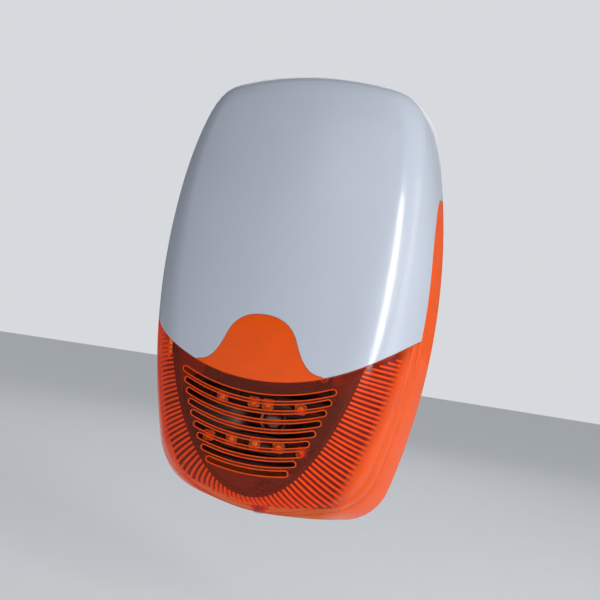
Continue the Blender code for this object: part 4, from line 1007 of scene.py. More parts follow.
def make_ribs():
    """Fins inside the skirt, about square to the face's edge, that fan out a little from one centre."""
    bm = bmesh.new()
    line = [crease(math.radians(92 + step * 0.25)) for step in range(705)]
    travelled, following = 0.0, 0.0
    for before, point, after in zip(line, line[1:], line[2:]):
        travelled += (point - before).length
        if travelled < following:
            continue
        following = travelled + RIB_PITCH
        along = (after - before).normalized()
        outwards = Vector((-along.y, along.x))
        from_centre = (point - Vector(RIB_CENTRE)).normalized()
        outwards = outwards if outwards.dot(from_centre) > 0 else -outwards
        add_rib(bm, point, (outwards * 0.75 + from_centre * 0.25).normalized())
    keep(from_bmesh("lens_ribs", bm, RIB_AMBER), "cover")


def add_rib(bm, start, lean):
    """One fin, from the face's edge out to where the lens is fully frosted, or to the rim."""
    side = Vector((-lean.y, lean.x)) * RIB_HALF
    rings = []
    for step in range(13):
        spot = start + lean * (CREASE_INSET + RIB_STEP * step)
        angle = math.atan2(spot.x, spot.y)
        if face_share(spot) > FROST_END or spot.length > rim_radius(angle) - 0.009:
            break
        if above_smile(spot, 0.0015):
            if rings:
                break
            continue
        deep = RIB_DEPTH * (0.35 if step == 0 else 1.0)
        outer, inner = surface_y(spot.x, spot.y, WALL - 0.0002), surface_y(spot.x, spot.y, WALL + deep)
        left, right = spot - side, spot + side
        near = [(left.x, outer, left.y), (left.x * 0.999, inner, left.y)]
        rings.append(near + [(right.x * 0.999, inner, right.y), (right.x, outer, right.y)])
    if len(rings) > 1:
        loft(bm, rings, caps=(True, True))


# -------- screws, nut, pins


def box_piece(name, low, high, material, bevel=0.0, segments=2):
    bm = bmesh.new()
    add_box(bm, low, high, bevel, segments)
    return from_bmesh(name, bm, material)


def threaded(radius, low, high, pitch=0.0007):
    """Profile points of thread rings, from low to high."""
    points = []
    for turn in range(int((high - low) / pitch)):
        start = low + turn * pitch
        points += [(radius * 0.80, start)]
        points += [(radius * 0.99, start + pitch * share) for share in (0.4, 0.6)]
    return points


def pan_screw(node, tip, axis, length, body, head=0.0029, height=0.0018, radius=0.0015):
    """A pan-head screw with thread rings and a cross recess."""
    profile = [(0, 0), (radius * 0.5, 0)] + threaded(radius, 0.0003, length - 0.0008)
    profile += [(radius * 0.9, length), (head * 0.97, length), (head, length + height * 0.15)]
    profile += [(head * 0.97, length + height * 0.45), (head * 0.80, length + height * 0.80)]
    top = length + height
    profile += [(head * 0.55, top - height * 0.05), (0, top)]
    obj = turned_piece(f"{node}_detail", profile, tip, axis, STEEL, 32)
    place = Matrix.Translation(tip) @ turn_to(axis)
    long, short = head * 0.60, head * 0.13
    for half_x, half_y in ((long, short), (short, long)):
        slot = block((-half_x, -half_y, top - height * 0.5), (half_x, half_y, top + height))
        slot.data.transform(place)
        cut(obj, slot)
    keep(obj, body, node)


def make_screws():
    """The small screws and the hinge's two pins."""
    face = BOARD_BACK_Y - BOARD_THICKNESS - GAP
    number = 1
    for x in (-BOARD_SCREW_X, BOARD_SCREW_X):
        for z in BOARD_SCREWS_Z:
            pan_screw(f"board_screw_{number}", (x, face + 0.0055, z), OUTWARDS, 0.0055, "base")
            number += 1
    for side, word in ((-1, "left"), (1, "right")):
        strap_tip = (side * STRAP_SCREW_X, -0.0120 - 2 * STRAP_HALF - GAP + 0.0070, STRAP_Z)
        pan_screw(f"strap_screw_{word}", strap_tip, OUTWARDS, 0.0070, "base")
        horn_tip = (side * HORN_POST_X, HORN_MOUTH_Y - GAP + 0.0080, HORN_POST_Z)
        pan_screw(f"horn_screw_{word}", horn_tip, OUTWARDS, 0.0080, "base")
        start = (side * HINGE_X - PIN_LENGTH / 2, HINGE_Y, HINGE_Z)
        pin = turned_piece(f"pin_{word}_detail", bar(PIN_RADIUS, PIN_LENGTH), start, ACROSS, STEEL)
        keep(pin, "base", f"hinge_pin_{word}")
    tip = (0, front_y(0, BOSS_Z) + 0.0020, BOSS_Z)
    pan_screw("tongue_screw", tip, INWARDS, BOSS_DEPTH + GAP - 0.0020, "cover", head=0.0054)


def make_cover_screw():
    """The slotted screw at the bottom and the nut that it turns in."""
    length = SCREW_TOP_Z - SCREW_BOTTOM_Z
    head, shaft = SCREW_HEAD_RADIUS, SCREW_RADIUS
    profile = [(0, 0), (head * 0.70, 0), (head * 0.93, 0.0004), (head, 0.0010), (head, 0.0026)]
    profile += [(shaft * 0.99, 0.0026), (shaft * 0.99, 0.0090)]
    profile += threaded(shaft, 0.0094, length - 0.0008, 0.0009) + [(shaft * 0.6, length), (0, length)]
    screw = turned_piece("cover_screw_detail", profile, (0, SCREW_Y, SCREW_BOTTOM_Z), UP, STEEL)
    slot_low = (-head, SCREW_Y - 0.0005, SCREW_BOTTOM_Z - 0.001)
    cut(screw, block(slot_low, (head, SCREW_Y + 0.0005, SCREW_BOTTOM_Z + 0.0011)))
    keep(screw, "cover_screw", "cover_screw")

    start = (0, SCREW_Y, LUG_HIGH_Z + GAP)
    nut = turned_piece("lock_nut_detail", bar(0.0040, 0.0032), start, UP, STEEL, 6, 20.0)
    rounded = ((0, 0), (0.0034, 0), (0.00405, 0.0005), (0.00405, 0.0027), (0.0034, 0.0032), (0, 0.0032))
    cut(nut, turned_piece("round", rounded, start, UP, STEEL, 48), operation="INTERSECT")
    cut(nut, rod((0, SCREW_Y, LUG_HIGH_Z - 0.001), UP, SCREW_RADIUS + GAP, 0.008, 24))
    keep(nut, "cover", "lock_nut")


# -------- wall base


def tray_outline(inset, steps=224):
    """The tray's outline: the rim's, moved in, with a flatter top."""
    points = []
    for step in range(steps):
        angle = 2 * math.pi * (step + 0.5) / steps
        radius = rim_radius(angle, inset)
        x = radius * math.sin(angle)
        crown = TRAY_TOP_Z - inset + TRAY_INSET - x**2 / (2 * TRAY_TOP_RADIUS)
        points.append((x, min(radius * math.cos(angle), crown)))
    return points


def tray_rings(levels):
    return [[(x, y, z) for x, z in tray_outline(inset)] for inset, y in levels]


def ear_outline():
    """Side view of a hinge ear: a foot on the tray's back and a round eye about the pin."""
    outline = [(ROOT_Y, 0.1095), (ROOT_Y, TRAY_TOP_Z - 0.003)]
    for step in range(25):
        angle = math.radians(40 + 215 * step / 24)
        across, rise = KNUCKLE_RADIUS * math.cos(angle), KNUCKLE_RADIUS * math.sin(angle)
        outline.append((HINGE_Y + across, HINGE_Z + rise))
    return outline


def make_base():
    """The tray, with every post, rib, ear and hole moulded in it."""
    outer, inner = TRAY_INSET, TRAY_INSET + TRAY_WALL
    rim = -TRAY_HEIGHT
    levels = ((outer + 0.0005, 0.0), (outer, -0.0005), (outer, rim + 0.0004), (outer + 0.0004, rim))
    levels += ((inner - 0.0004, rim), (inner, rim + 0.0004), (inner, -PLATE - 0.0008))
    levels += ((inner + 0.0008, -PLATE),)
    bm = bmesh.new()
    loft(bm, tray_rings(levels), caps=(True, True))
    base = from_bmesh("wall_base_detail", bm)

    shelf_top = BATTERY_LOW_Z - GAP
    added = [block((-0.050, -0.030, shelf_top - 0.0025), (0.050, ROOT_Y, shelf_top), 0.0004)]
    added.append(block((-0.008, -0.0265, LUG_LOW_Z), (0.008, ROOT_Y, LUG_HIGH_Z), 0.0004))
    drilled = [stud(0, ENTRY_Z, 0.002, ENTRY_RADIUS, 0.010, 48)]
    for x in (-0.036, -0.012, 0.012, 0.036):
        brace = [(ROOT_Y, shelf_top - 0.002), (-0.026, shelf_top - 0.002), (ROOT_Y, shelf_top - 0.0095)]
        added.append(prism("brace", brace, "X", x - 0.0008, x + 0.0008))
    for x in (-FIXING_X, FIXING_X):
        for z in (-FIXING_Z, FIXING_Z):
            added.append(stud(x, z, -0.001, 0.0065, 0.0045, 40))
            drilled.append(stud(x, z, 0.0011, FIXING_RADIUS, 0.010))
    for x in (-BOARD_SCREW_X, BOARD_SCREW_X):
        for z in BOARD_SCREWS_Z:
            added.append(stud(x, z, ROOT_Y, 0.0035, -BOARD_BACK_Y - GAP + ROOT_Y))
            drilled.append(stud(x, z, -0.0035, PILOT_RADIUS, 0.02))
    for side in (-1, 1):
        low, high = sorted(side * (BATTERY_HALF_WIDTH + GAP + depth) for depth in (0.0, 0.002))
        added.append(block((low, -0.020, shelf_top - 0.001), (high, ROOT_Y, shelf_top + 0.030), 0.0004))
        added.append(stud(side * STRAP_SCREW_X, STRAP_Z, ROOT_Y, POST_RADIUS, 0.0097))
        drilled.append(stud(side * STRAP_SCREW_X, STRAP_Z, -0.004, PILOT_RADIUS, 0.02))
        x = side * HORN_POST_X
        reach = -HORN_MOUTH_Y - HORN_WALL - GAP + ROOT_Y
        added.append(stud(x, HORN_POST_Z, ROOT_Y, POST_RADIUS, reach))
        drilled.append(stud(x, HORN_POST_Z, -0.034, PILOT_RADIUS, 0.02))
        for turn in (-1, 1):
            fin = [(x + turn * 0.003, ROOT_Y), (x + turn * 0.0085, ROOT_Y), (x + turn * 0.003, -0.028)]
            added.append(prism("fin", fin, "Z", HORN_POST_Z - 0.0007, HORN_POST_Z + 0.0007))
            middle = side * HINGE_X + turn * EAR_OFFSET
            added.append(prism("ear", ear_outline(), "X", middle - EAR_WIDTH / 2, middle + EAR_WIDTH / 2))
        drilled.append(rod((side * HINGE_X - 0.015, HINGE_Y, HINGE_Z), ACROSS, PIN_RADIUS + 0.0001, 0.030))
    ring = ((0.0215, 0.0), (0.0235, 0.0), (0.0235, 0.0057), (0.0232, 0.0060), (0.0218, 0.0060))
    ring += ((0.0215, 0.0057),)
    added.append(turned_piece("ring", ring, (0, ROOT_Y, HORN_AXIS_Z), OUTWARDS, BASE, 72))
    half = SCREW_RADIUS + 0.0005
    lug_slot_end = (half, SCREW_Y + 0.0005, LUG_HIGH_Z + 0.002)
    drilled.append(block((-half, -0.030, LUG_LOW_Z - 0.002), lug_slot_end))
    drilled.append(rod((0, SCREW_Y + 0.0005, LUG_LOW_Z - 0.0023), UP, half, 0.008))
    for half_apart, z in ((0.030, -0.125), (0.060, -0.060), (0.068, 0.040)):
        drilled += [stud(x, z, 0.0021, 0.0030, 0.0024, 36) for x in (-half_apart, half_apart)]
    join(base, *added)
    cut(base, *drilled)
    keep(dressed(base, BASE, 30), "base", "wall_base")


def make_grommet_and_seal():
    lip, body, hole = ENTRY_RADIUS + 0.0020, ENTRY_RADIUS - GAP, CABLE_RADIUS
    profile = ((hole, GAP), (body - 0.0003, GAP), (body, GAP + 0.0003), (body, PLATE + GAP))
    profile += ((lip - 0.0004, PLATE + GAP), (lip, PLATE + 0.0009), (lip - 0.0003, 0.0049))
    profile += ((lip - 0.0010, 0.0054), (hole + 0.0024, 0.0055), (hole + 0.0018, 0.0046))
    profile += ((hole + 0.0012, 0.0055), (hole, 0.0050))
    grommet = turned_piece("grommet_detail", profile, (0, 0, ENTRY_Z), OUTWARDS, RUBBER, 64)
    keep(grommet, "base", "cable_grommet")

    back = -TRAY_HEIGHT - GAP
    outer, inner = TRAY_INSET + 0.0001, TRAY_INSET + TRAY_WALL - 0.0001
    levels = ((outer, back), (outer, back - 0.0009), (outer + 0.0003, back - 0.0014))
    levels += ((outer + 0.0009, back - 0.0016), (inner - 0.0003, back - 0.0014))
    levels += ((inner, back - 0.0009), (inner, back))
    seal = closed_loft("seal_detail", tray_rings(levels))
    half = HINGE_X + EAR_OFFSET + EAR_WIDTH
    cut(seal, block(*about(0, TRAY_TOP_Z, half, 0.010, back - 0.01, back + 0.01)))
    keep(dressed(seal, RUBBER), "base", "rim_seal")


def make_tamper_switch():
    corners = about(0, TAMPER_Z, 0.008, TAMPER_HALF_HEIGHT, TAMPER_FACE_Y, -PLATE - GAP)
    switch = box_piece("switch_detail", *corners, BLACK, 0.0008, 3)
    bore = rod((0, TAMPER_FACE_Y - 0.002, TAMPER_Z), INWARDS, TAMPER_RADIUS + GAP, 0.0120)
    cut(switch, bore)
    for x in (-0.0080, 0.0080):
        cut(switch, block(*about(x, TAMPER_Z, 0.0002, 0.006, -0.0215, -0.0205)))
    for z in (TAMPER_Z - TAMPER_HALF_HEIGHT, TAMPER_Z + TAMPER_HALF_HEIGHT):
        cut(switch, block(*about(0, z, 0.009, 0.0002, -0.0215, -0.0205)))
    keep(switch, "base", "tamper_switch")
    radius = TAMPER_RADIUS
    profile = ((0, 0), (radius, 0), (radius, 0.0092), (radius * 0.95, 0.0101), (radius * 0.75, 0.0107))
    profile += ((radius * 0.4, 0.01095), (0, 0.0110))
    start = (0, TAMPER_TIP_Y + 0.0110, TAMPER_Z)
    plunger = turned_piece("plunger_detail", profile, start, OUTWARDS, RED_WIRE)
    keep(plunger, "tamper_plunger", "tamper_plunger")


# -------- battery and wires


def fillet(corners, radius, steps=6):
    """The corners of a path made round."""
    points = [corners[0]]
    for before, corner, after in zip(corners, corners[1:], corners[2:]):
        start = corner + (before - corner).normalized() * radius
        end = corner + (after - corner).normalized() * radius
        for step in range(steps + 1):
            t = step / steps
            points.append((1 - t) ** 2 * start + 2 * t * (1 - t) * corner + t**2 * end)
    return points + [corners[-1]]


def make_battery():
    """The battery with its tabs and their sleeves, and the strap over it."""
    back = -PLATE - GAP
    front, half = back - BATTERY_DEPTH, BATTERY_HALF_WIDTH
    top, lid = BATTERY_HIGH_Z, BATTERY_HIGH_Z - 0.0085
    bm = bmesh.new()
    add_box(bm, (-half, front, BATTERY_LOW_Z), (half, back, lid), 0.0013, 4)
    add_box(bm, (-half + 0.0006, front + 0.0006, lid - 0.002), (half - 0.0006, back - 0.0006, lid + 0.002))
    add_box(bm, (-half, front, lid + 0.0005), (half, back, top - 0.0008), 0.0010, 4)
    add_box(bm, (-0.030, front + 0.012, top - 0.0012), (0.030, back - 0.016, top), 0.0005)
    for x in (-0.0385, 0.0385):
        add_box(bm, *about(x, top - 0.0006, 0.0055, 0.0006, back - 0.0175, back - 0.0065), 0.0004)
    settle(bm)
    keep(from_bmesh("battery_detail", bm, GREY), "base", "battery")

    for word, x, colour in (("positive", 0.038, RED_WIRE), ("negative", -0.038, BLACK_WIRE)):
        bm = bmesh.new()
        low, high = top + GAP, top + 0.0066
        blade = about(x, (low + high) / 2, 0.0024, (high - low) / 2, back - 0.0125, back - 0.0117)
        add_box(bm, *blade, 0.0002)
        high = top + 0.0011
        foot = about(x, (low + high) / 2, 0.0027, (high - low) / 2, back - 0.0131, back - 0.0111)
        add_box(bm, *foot, 0.0002)
        keep(from_bmesh(f"tab_{word}_detail", bm, BRASS), "base", f"battery_tab_{word}")
        corners = about(x, top + 0.0055, 0.0033, 0.0033, back - 0.0137, back - 0.0105)
        keep(box_piece(f"tab_{word}_sleeve", *corners, colour, 0.0007, 3), "base")

    side, foot, middle = half + GAP + 0.0038, -0.0126, front - 3 * STRAP_HALF - GAP
    right = [(side, middle), (side, foot), (side + 0.0102, foot)]
    corners = [(-x, y) for x, y in reversed(right)] + right
    path = fillet([Vector((x, y, 0)) for x, y in corners], 0.0016)
    flat = grown(path, STRAP_HALF) + list(reversed(grown(path, -STRAP_HALF)))
    strap = prism("strap_detail", flat, "Z", STRAP_Z - 0.006, STRAP_Z + 0.006)
    for x in (-STRAP_SCREW_X, STRAP_SCREW_X):
        cut(strap, stud(x, STRAP_Z, -0.005, PILOT_RADIUS + 0.0001, 0.015))
    keep(dressed(strap, STEEL), "base", "battery_strap")


def wire_piece(node, points, radius, material):
    """An insulated wire on one smooth curve through the points of its route."""
    route = [Vector(point) for point in points]
    fine = []
    for index in range(len(route) - 1):
        before, after = route[max(index - 1, 0)], route[min(index + 2, len(route) - 1)]
        start, end = route[index], route[index + 1]
        handles = (start, start + (end - before) / 6, end - (after - start) / 6, end)
        fine += interpolate_bezier(*handles, 9)[:-1]
    fine.append(route[-1])
    bm = bmesh.new()
    rounded_tube(bm, fine, radius, 14)
    keep(from_bmesh(f"{node}_detail", bm, material), "base", node)


def make_wires():
    tab_y = -PLATE - GAP - 0.0121
    over = BATTERY_HIGH_Z + 0.0085
    socket_y = BOARD_BACK_Y - BOARD_THICKNESS - GAP - 0.0083
    # Both battery leads run down beside the battery, and then each goes to its pin of the socket.
    beside = (
        (0.038, tab_y, over),
        (0.046, tab_y, over + 0.001),
        (0.0545, tab_y - 0.003, 0.0980),
        (0.0640, tab_y - 0.006, 0.0800),
        (0.0660, tab_y - 0.006, 0.0560),
    )
    red = beside + (
        (0.0560, tab_y - 0.006, 0.0400),
        (0.0300, socket_y - 0.006, 0.0375),
        (-0.0200, socket_y - 0.010, 0.0330),
        (-0.0420, socket_y - 0.009, 0.0220),
        (-0.0465, socket_y - 0.003, 0.0125),
        (-0.0466, socket_y, 0.0122),
    )
    black = tuple((-x, y, z) for x, y, z in beside) + (
        (-0.0620, tab_y - 0.006, 0.0380),
        (-0.0540, socket_y - 0.007, 0.0220),
        (-0.0496, socket_y - 0.003, 0.0125),
        (-0.0495, socket_y, 0.0122),
    )
    strobe = (
        (-0.0330, socket_y, -0.0100),
        (-0.0330, socket_y - 0.004, -0.0120),
        (-0.0300, socket_y - 0.009, -0.0260),
        (-0.0260, -0.0360, -0.0400),
        (-0.0200, -0.0470, -0.0510),
        (-0.0160, -0.0525, -0.0585),
        (-0.0150, -0.0530, -0.0660),
        (-0.0150, -0.0520, -0.0710),
        (-0.0150, HORN_MOUTH_Y - 3 * GAP - BOARD_THICKNESS - 0.0003, -0.0725),
    )
    wire_piece("battery_lead_red", red, LEAD_RADIUS, RED_WIRE)
    wire_piece("battery_lead_black", black, LEAD_RADIUS, BLACK_WIRE)
    wire_piece("strobe_lead", strobe, 0.0010, BLACK_WIRE)
    low = BOARD_LOW_Z + 0.0015
    ends = (("red", 0.00255, 0.0020, RED_WIRE), ("black", 0.00765, 0.0080, BLACK_WIRE))
    for word, x, end_x, colour in ends:
        route = (
            (x, -0.0170, low + 0.003),
            (x, -0.0170, low - 0.003),
            (x + 0.007, -0.0165, -0.0400),
            (x + 0.009, -0.0150, -0.0500),
            (end_x + 0.0010, -0.0160, HORN_AXIS_Z + 0.0285),
            (end_x, -0.0160, HORN_AXIS_Z + 0.0260),
            (end_x, -0.0160, HORN_AXIS_Z + 0.0250),
        )
        wire_piece(f"horn_lead_{word}", route, LEAD_RADIUS, colour)


# -------- main board


def make_board():
    front = BOARD_BACK_Y - BOARD_THICKNESS
    low, high = (-BOARD_HALF_WIDTH, front, BOARD_LOW_Z), (BOARD_HALF_WIDTH, BOARD_BACK_Y, BOARD_HIGH_Z)
    board = box_piece("main_board_detail", low, high, BOARD, 0.0003)
    pads = bmesh.new()
    ring = ((0.0019, 0), (0.0034, 0), (0.0034, 0.0001), (0.0019, 0.0001))
    for x in (-BOARD_SCREW_X, BOARD_SCREW_X):
        for z in BOARD_SCREWS_Z:
            cut(board, stud(x, z, -0.005, PILOT_RADIUS, 0.010))
            add_turned(pads, ring, (x, front + 0.00002, z), OUTWARDS, 24)
    keep(board, "base", "main_board")
    ceramics, leads = bmesh.new(), bmesh.new()
    add_small_parts(ceramics, leads, front)
    settle(leads)
    keep(from_bmesh("board_ceramics", ceramics, RESIN), "base")
    keep(from_bmesh("board_leads", leads, SOLDER), "base")
    keep(from_bmesh("board_pads", pads, BRASS), "base")
    make_large_parts(front - GAP)
    make_terminal(front - GAP)


def add_small_parts(ceramics, leads, front):
    """Chip resistors in rows with their solder ends, and the legs and tabs of the larger parts."""
    spots = [(-0.052 + 0.0052 * i, -0.0035 + 0.0030 * (i % 2)) for i in range(3)]
    for first, z, pitch, count in (
        (0.018, -0.0140, 0.0048, 6),
        (-0.016, -0.0125, 0.0042, 7),
        (0.024, 0.0135, 0.0050, 5),
        (0.026, 0.0205, 0.0050, 4),
    ):
        spots += [(first + pitch * i, z) for i in range(count)]
    for x, z in spots:
        add_box(ceramics, *about(x, z, 0.0010, 0.0008, front - 0.00075, front - 0.00005), 0.0001)
        for side in (-1, 1):
            add_box(leads, *about(x + side * 0.0013, z, 0.0003, 0.00085, front - 0.0008, front), 0.0001)
    for x in (0.0211, 0.0246, 0.0441, 0.0476):
        add_box(leads, *about(x, -0.01875, 0.0011, 0.00225, front - 0.0002, front))
    for side in (-1, 1):
        for i in range(10):
            x, z = -0.0100 + 0.0025 * (i + 0.5), CHIP_Z + side * 0.0036
            add_box(leads, *about(x, z, 0.0004, 0.0006, front - GAP - 0.0016, front), 0.0001)
    for i in range(3):
        add_box(leads, *about(0.0325 + 0.0026 * i, -0.00725, 0.0003, 0.00325, front - 0.0010, front))


def make_large_parts(face):
    """Chip, relay, capacitors, fuse, transistor and sockets, which stand on the board's face."""
    corners = about(0.0025, CHIP_Z, 0.0125, 0.00325, face - 0.0033, face)
    chip = box_piece("chip_detail", *corners, RESIN, 0.0004)
    cut(chip, rod((-0.0080, face - 0.0045, CHIP_Z), INWARDS, 0.0009, 0.0016))
    keep(chip, "base", "control_chip")
    relay = bmesh.new()
    for grow, near, far, bevel, segments in (
        (0.0, 0.0150, 0.0004, 0.0007, 3),
        (-0.0010, 0.0155, 0.0140, 0.0003, 2),
        (0.0, 0.0014, 0.0, 0.0002, 2),
    ):
        corners = about(-0.03025, 0.00975, 0.00975 + grow, 0.00775 + grow, face - near, face - far)
        add_box(relay, *corners, bevel, segments)
    keep(from_bmesh("relay_detail", relay, RELAY_BLUE), "base", "relay")
    make_capacitor("capacitor_main", 0.0130, 0.0180, 0.0080, 0.0250, face)
    make_capacitor("capacitor_small", -0.0060, 0.0200, 0.0050, 0.0120, face)
    radius = 0.0026
    tube = ((0, 0), (radius, 0.0), (radius, 0.0052), (radius * 0.88, 0.0054), (radius * 0.88, 0.0146))
    tube += ((radius, 0.0148), (radius, 0.0200), (0, 0.0200))
    start = (0.0280, face - 0.0032, 0.0060)
    keep(turned_piece("fuse_detail", tube, start, ACROSS, BRASS), "base", "fuse")
    bm = bmesh.new()
    add_box(bm, (0.0300, face - 0.0095, -0.0090), (0.0402, face, -0.0045), 0.0004)
    add_box(bm, (0.0300, face - 0.0150, -0.0058), (0.0402, face - 0.0090, -0.0045), 0.0002)
    keep(from_bmesh("transistor_detail", bm, RESIN), "base", "driver_transistor")
    pins = bmesh.new()
    for node, x, z in (("battery_socket", -0.0480, 0.0120), ("strobe_socket", -0.0330, -0.0100)):
        corners = about(x, z, 0.0050, 0.0032, face - 0.0080, face)
        socket = box_piece(f"{node}_detail", *corners, BASE, 0.0003)
        cut(socket, block(*about(x, z, 0.0038, 0.0020, face - 0.0100, face - 0.0030)))
        cut(socket, block(*about(x, z + 0.00325, 0.0014, 0.00175, face - 0.0100, face - 0.0040)))
        keep(socket, "base", node)
        for side in (-1, 1):
            add_box(pins, *about(x + side * 0.0028, z, 0.0003, 0.0003, face - 0.0062, face - 0.0028))
    keep(from_bmesh("socket_pins", pins, STEEL), "base")


def make_capacitor(node, x, z, radius, height, face):
    """A can in its sleeve, with the groove near its foot and the scored lid."""
    edge, sleeve = radius * 0.10, 0.0005
    can = ((0, 0), (radius - edge, 0), (radius, edge), (radius, 0.0022), (radius - sleeve, 0.0028))
    can += ((radius - sleeve, 0.0032), (radius, 0.0038), (radius, height - edge), (radius - edge, height))
    can += ((radius - 0.0014, height), (radius - 0.0016, height - 0.0003), (0, height - 0.0003))
    keep(turned_piece(f"{node}_sleeve", can, (x, face, z), OUTWARDS, BLACK, 56), "base", node)
    top = face - height
    lid = turned_piece(f"{node}_lid", bar(radius - 0.0017, 0.0004), (x, top + 0.0003, z), OUTWARDS, ALUMINIUM)
    for half_x, half_z in ((0.00014, radius * 0.6), (radius * 0.6, 0.00014)):
        cut(lid, block(*about(x, z, half_x, half_z, top - 0.001, top + 0.00008)))
    keep(lid, "base")


def make_terminal(face):
    """The row of screw terminals along the board's lower edge."""
    ways, pitch, screw_z = 8, 0.0051, BOARD_LOW_Z + 0.0080
    half = ways * pitch / 2
    middle = BOARD_LOW_Z + 0.0065
    corners = about(0, middle, half, 0.0050, face - 0.0120, face)
    terminal = box_piece("terminal_detail", *corners, GREEN, 0.0004)
    head = ((0, 0), (0.0014, 0), (0.0014, 0.0010), (0.0011, 0.0013), (0, 0.0013))
    screws = bmesh.new()
    for way in range(ways):
        x = -half + pitch * (way + 0.5)
        cut(terminal, block(*about(x, middle - 0.0030, 0.0017, 0.0030, face - 0.0080, face - 0.0035)))
        cut(terminal, rod((x, face - 0.0150, screw_z), INWARDS, 0.0016, 0.0060, 24))
        if way:
            line = about(x - pitch / 2, middle, 0.00015, 0.0060, face - 0.0130, face - 0.0115)
            cut(terminal, block(*line))
        add_turned(screws, head, (x, face - 0.0091, screw_z), OUTWARDS, 20)
    keep(terminal, "base", "terminal_block")
    keep(from_bmesh("terminal_screws", screws, STEEL), "base")


# -------- horn, driver and strobe


def squared(angle, power):
    """Sine and cosine of an angle, drawn out towards a square."""
    sine, cosine = math.sin(angle), math.cos(angle)
    return math.copysign(abs(sine) ** power, sine), math.copysign(abs(cosine) ** power, cosine)


def mouth_outline(grow, steps=96):
    """The horn's mouth: a rounded shape, wide at the top and narrower at the bottom."""
    middle = (HORN_TOP_Z + HORN_BOTTOM_Z) / 2
    half_height = (HORN_TOP_Z - HORN_BOTTOM_Z) / 2 + grow
    points = []
    for step in range(steps):
        x, z = squared(2 * math.pi * step / steps, 0.5)
        half_width = HORN_BOTTOM_HALF + (HORN_TOP_HALF - HORN_BOTTOM_HALF) * (z + 1) / 2 + grow
        points.append((x * half_width, middle + z * half_height))
    return points


def horn_ring(t, grow, steps=96):
    """A ring of the funnel: t is 0 at the mouth and 1 at the throat."""
    flare = (1 - t) ** 1.7
    y = HORN_MOUTH_Y + (HORN_THROAT_Y - HORN_MOUTH_Y) * t
    if grow:
        y += 0.8 * HORN_WALL * (1 - t)
    radius = HORN_THROAT_RADIUS + grow
    ring = []
    for step, (mouth_x, mouth_z) in enumerate(mouth_outline(grow * 0.6, steps)):
        angle = 2 * math.pi * step / steps
        x, z = radius * math.sin(angle), HORN_AXIS_Z + radius * math.cos(angle)
        ring.append((x + (mouth_x - x) * flare, y, z + (mouth_z - z) * flare))
    return ring


def make_horn():
    """The funnel, from the lip round its mouth down to the throat and back along its outer side."""
    lip, edge = HORN_LIP, 0.0004
    levels = ((lip - edge, HORN_WALL), (lip, HORN_WALL - edge), (lip, edge), (lip - edge, 0.0), (0.0006, 0.0))
    rings = [[(x, HORN_MOUTH_Y + depth, z) for x, z in mouth_outline(grow)] for grow, depth in levels]
    rings += [horn_ring(row / 14, 0.0) for row in range(1, 15)]
    rings += [horn_ring(row / 14, HORN_WALL) for row in range(14, 0, -1)]
    horn = closed_loft("horn_detail", rings)
    for x in (-HORN_POST_X, HORN_POST_X):
        ear = about(x, HORN_POST_Z - 0.002, 0.005, 0.007, HORN_MOUTH_Y, HORN_MOUTH_Y + HORN_WALL)
        join(horn, block(*ear, 0.0003))
        cut(horn, stud(x, HORN_POST_Z, HORN_MOUTH_Y + 0.01, PILOT_RADIUS, 0.020))
    keep(dressed(horn, BLACK, 35), "base", "siren_horn")


def make_driver():
    """Magnet, housing and diaphragm, which stand behind the horn's throat."""
    back = -PLATE - GAP
    seat = back - MAGNET_DEPTH - GAP
    magnet = ((0, 0), (0.0200, 0), (0.0208, 0.0006), (0.0208, 0.0024), (0.0202, 0.0027), (0.0202, 0.0063))
    magnet += ((0.0208, 0.0066), (0.0208, 0.0084), (0.0200, MAGNET_DEPTH), (0, MAGNET_DEPTH))
    housing = ((0, 0), (0.0240, 0), (0.0245, 0.0005), (0.0245, 0.0055), (0.0240, 0.0060), (0.0200, 0.0064))
    housing += ((0.0165, 0.0073), (0.0150, 0.0090), (0.0145, 0.0102), (0.0142, 0.0104), (0.0103, 0.0104))
    housing += ((0.0100, 0.0101), (0.0100, 0.0040), (0, 0.0040))
    dome = ((0, 0), (0.0096, 0), (0.0096, 0.0008), (0.0090, 0.0012), (0.0086, 0.0009), (0.0080, 0.0015))
    dome += ((0.0074, 0.0013), (0.0064, 0.0024), (0.0050, 0.0032), (0.0032, 0.0037), (0.0015, 0.0039))
    dome += ((0, 0.0040),)
    for word, profile, start_y, material, steps in (
        ("magnet", magnet, back, STEEL, 72),
        ("housing", housing, seat, BLACK, 72),
        ("diaphragm", dome, seat - 0.0040 - GAP, ALUMINIUM, 64),
    ):
        start = (0, start_y, HORN_AXIS_Z)
        piece = turned_piece(f"{word}_detail", profile, start, OUTWARDS, material, steps)
        keep(piece, "base", f"driver_{word}")


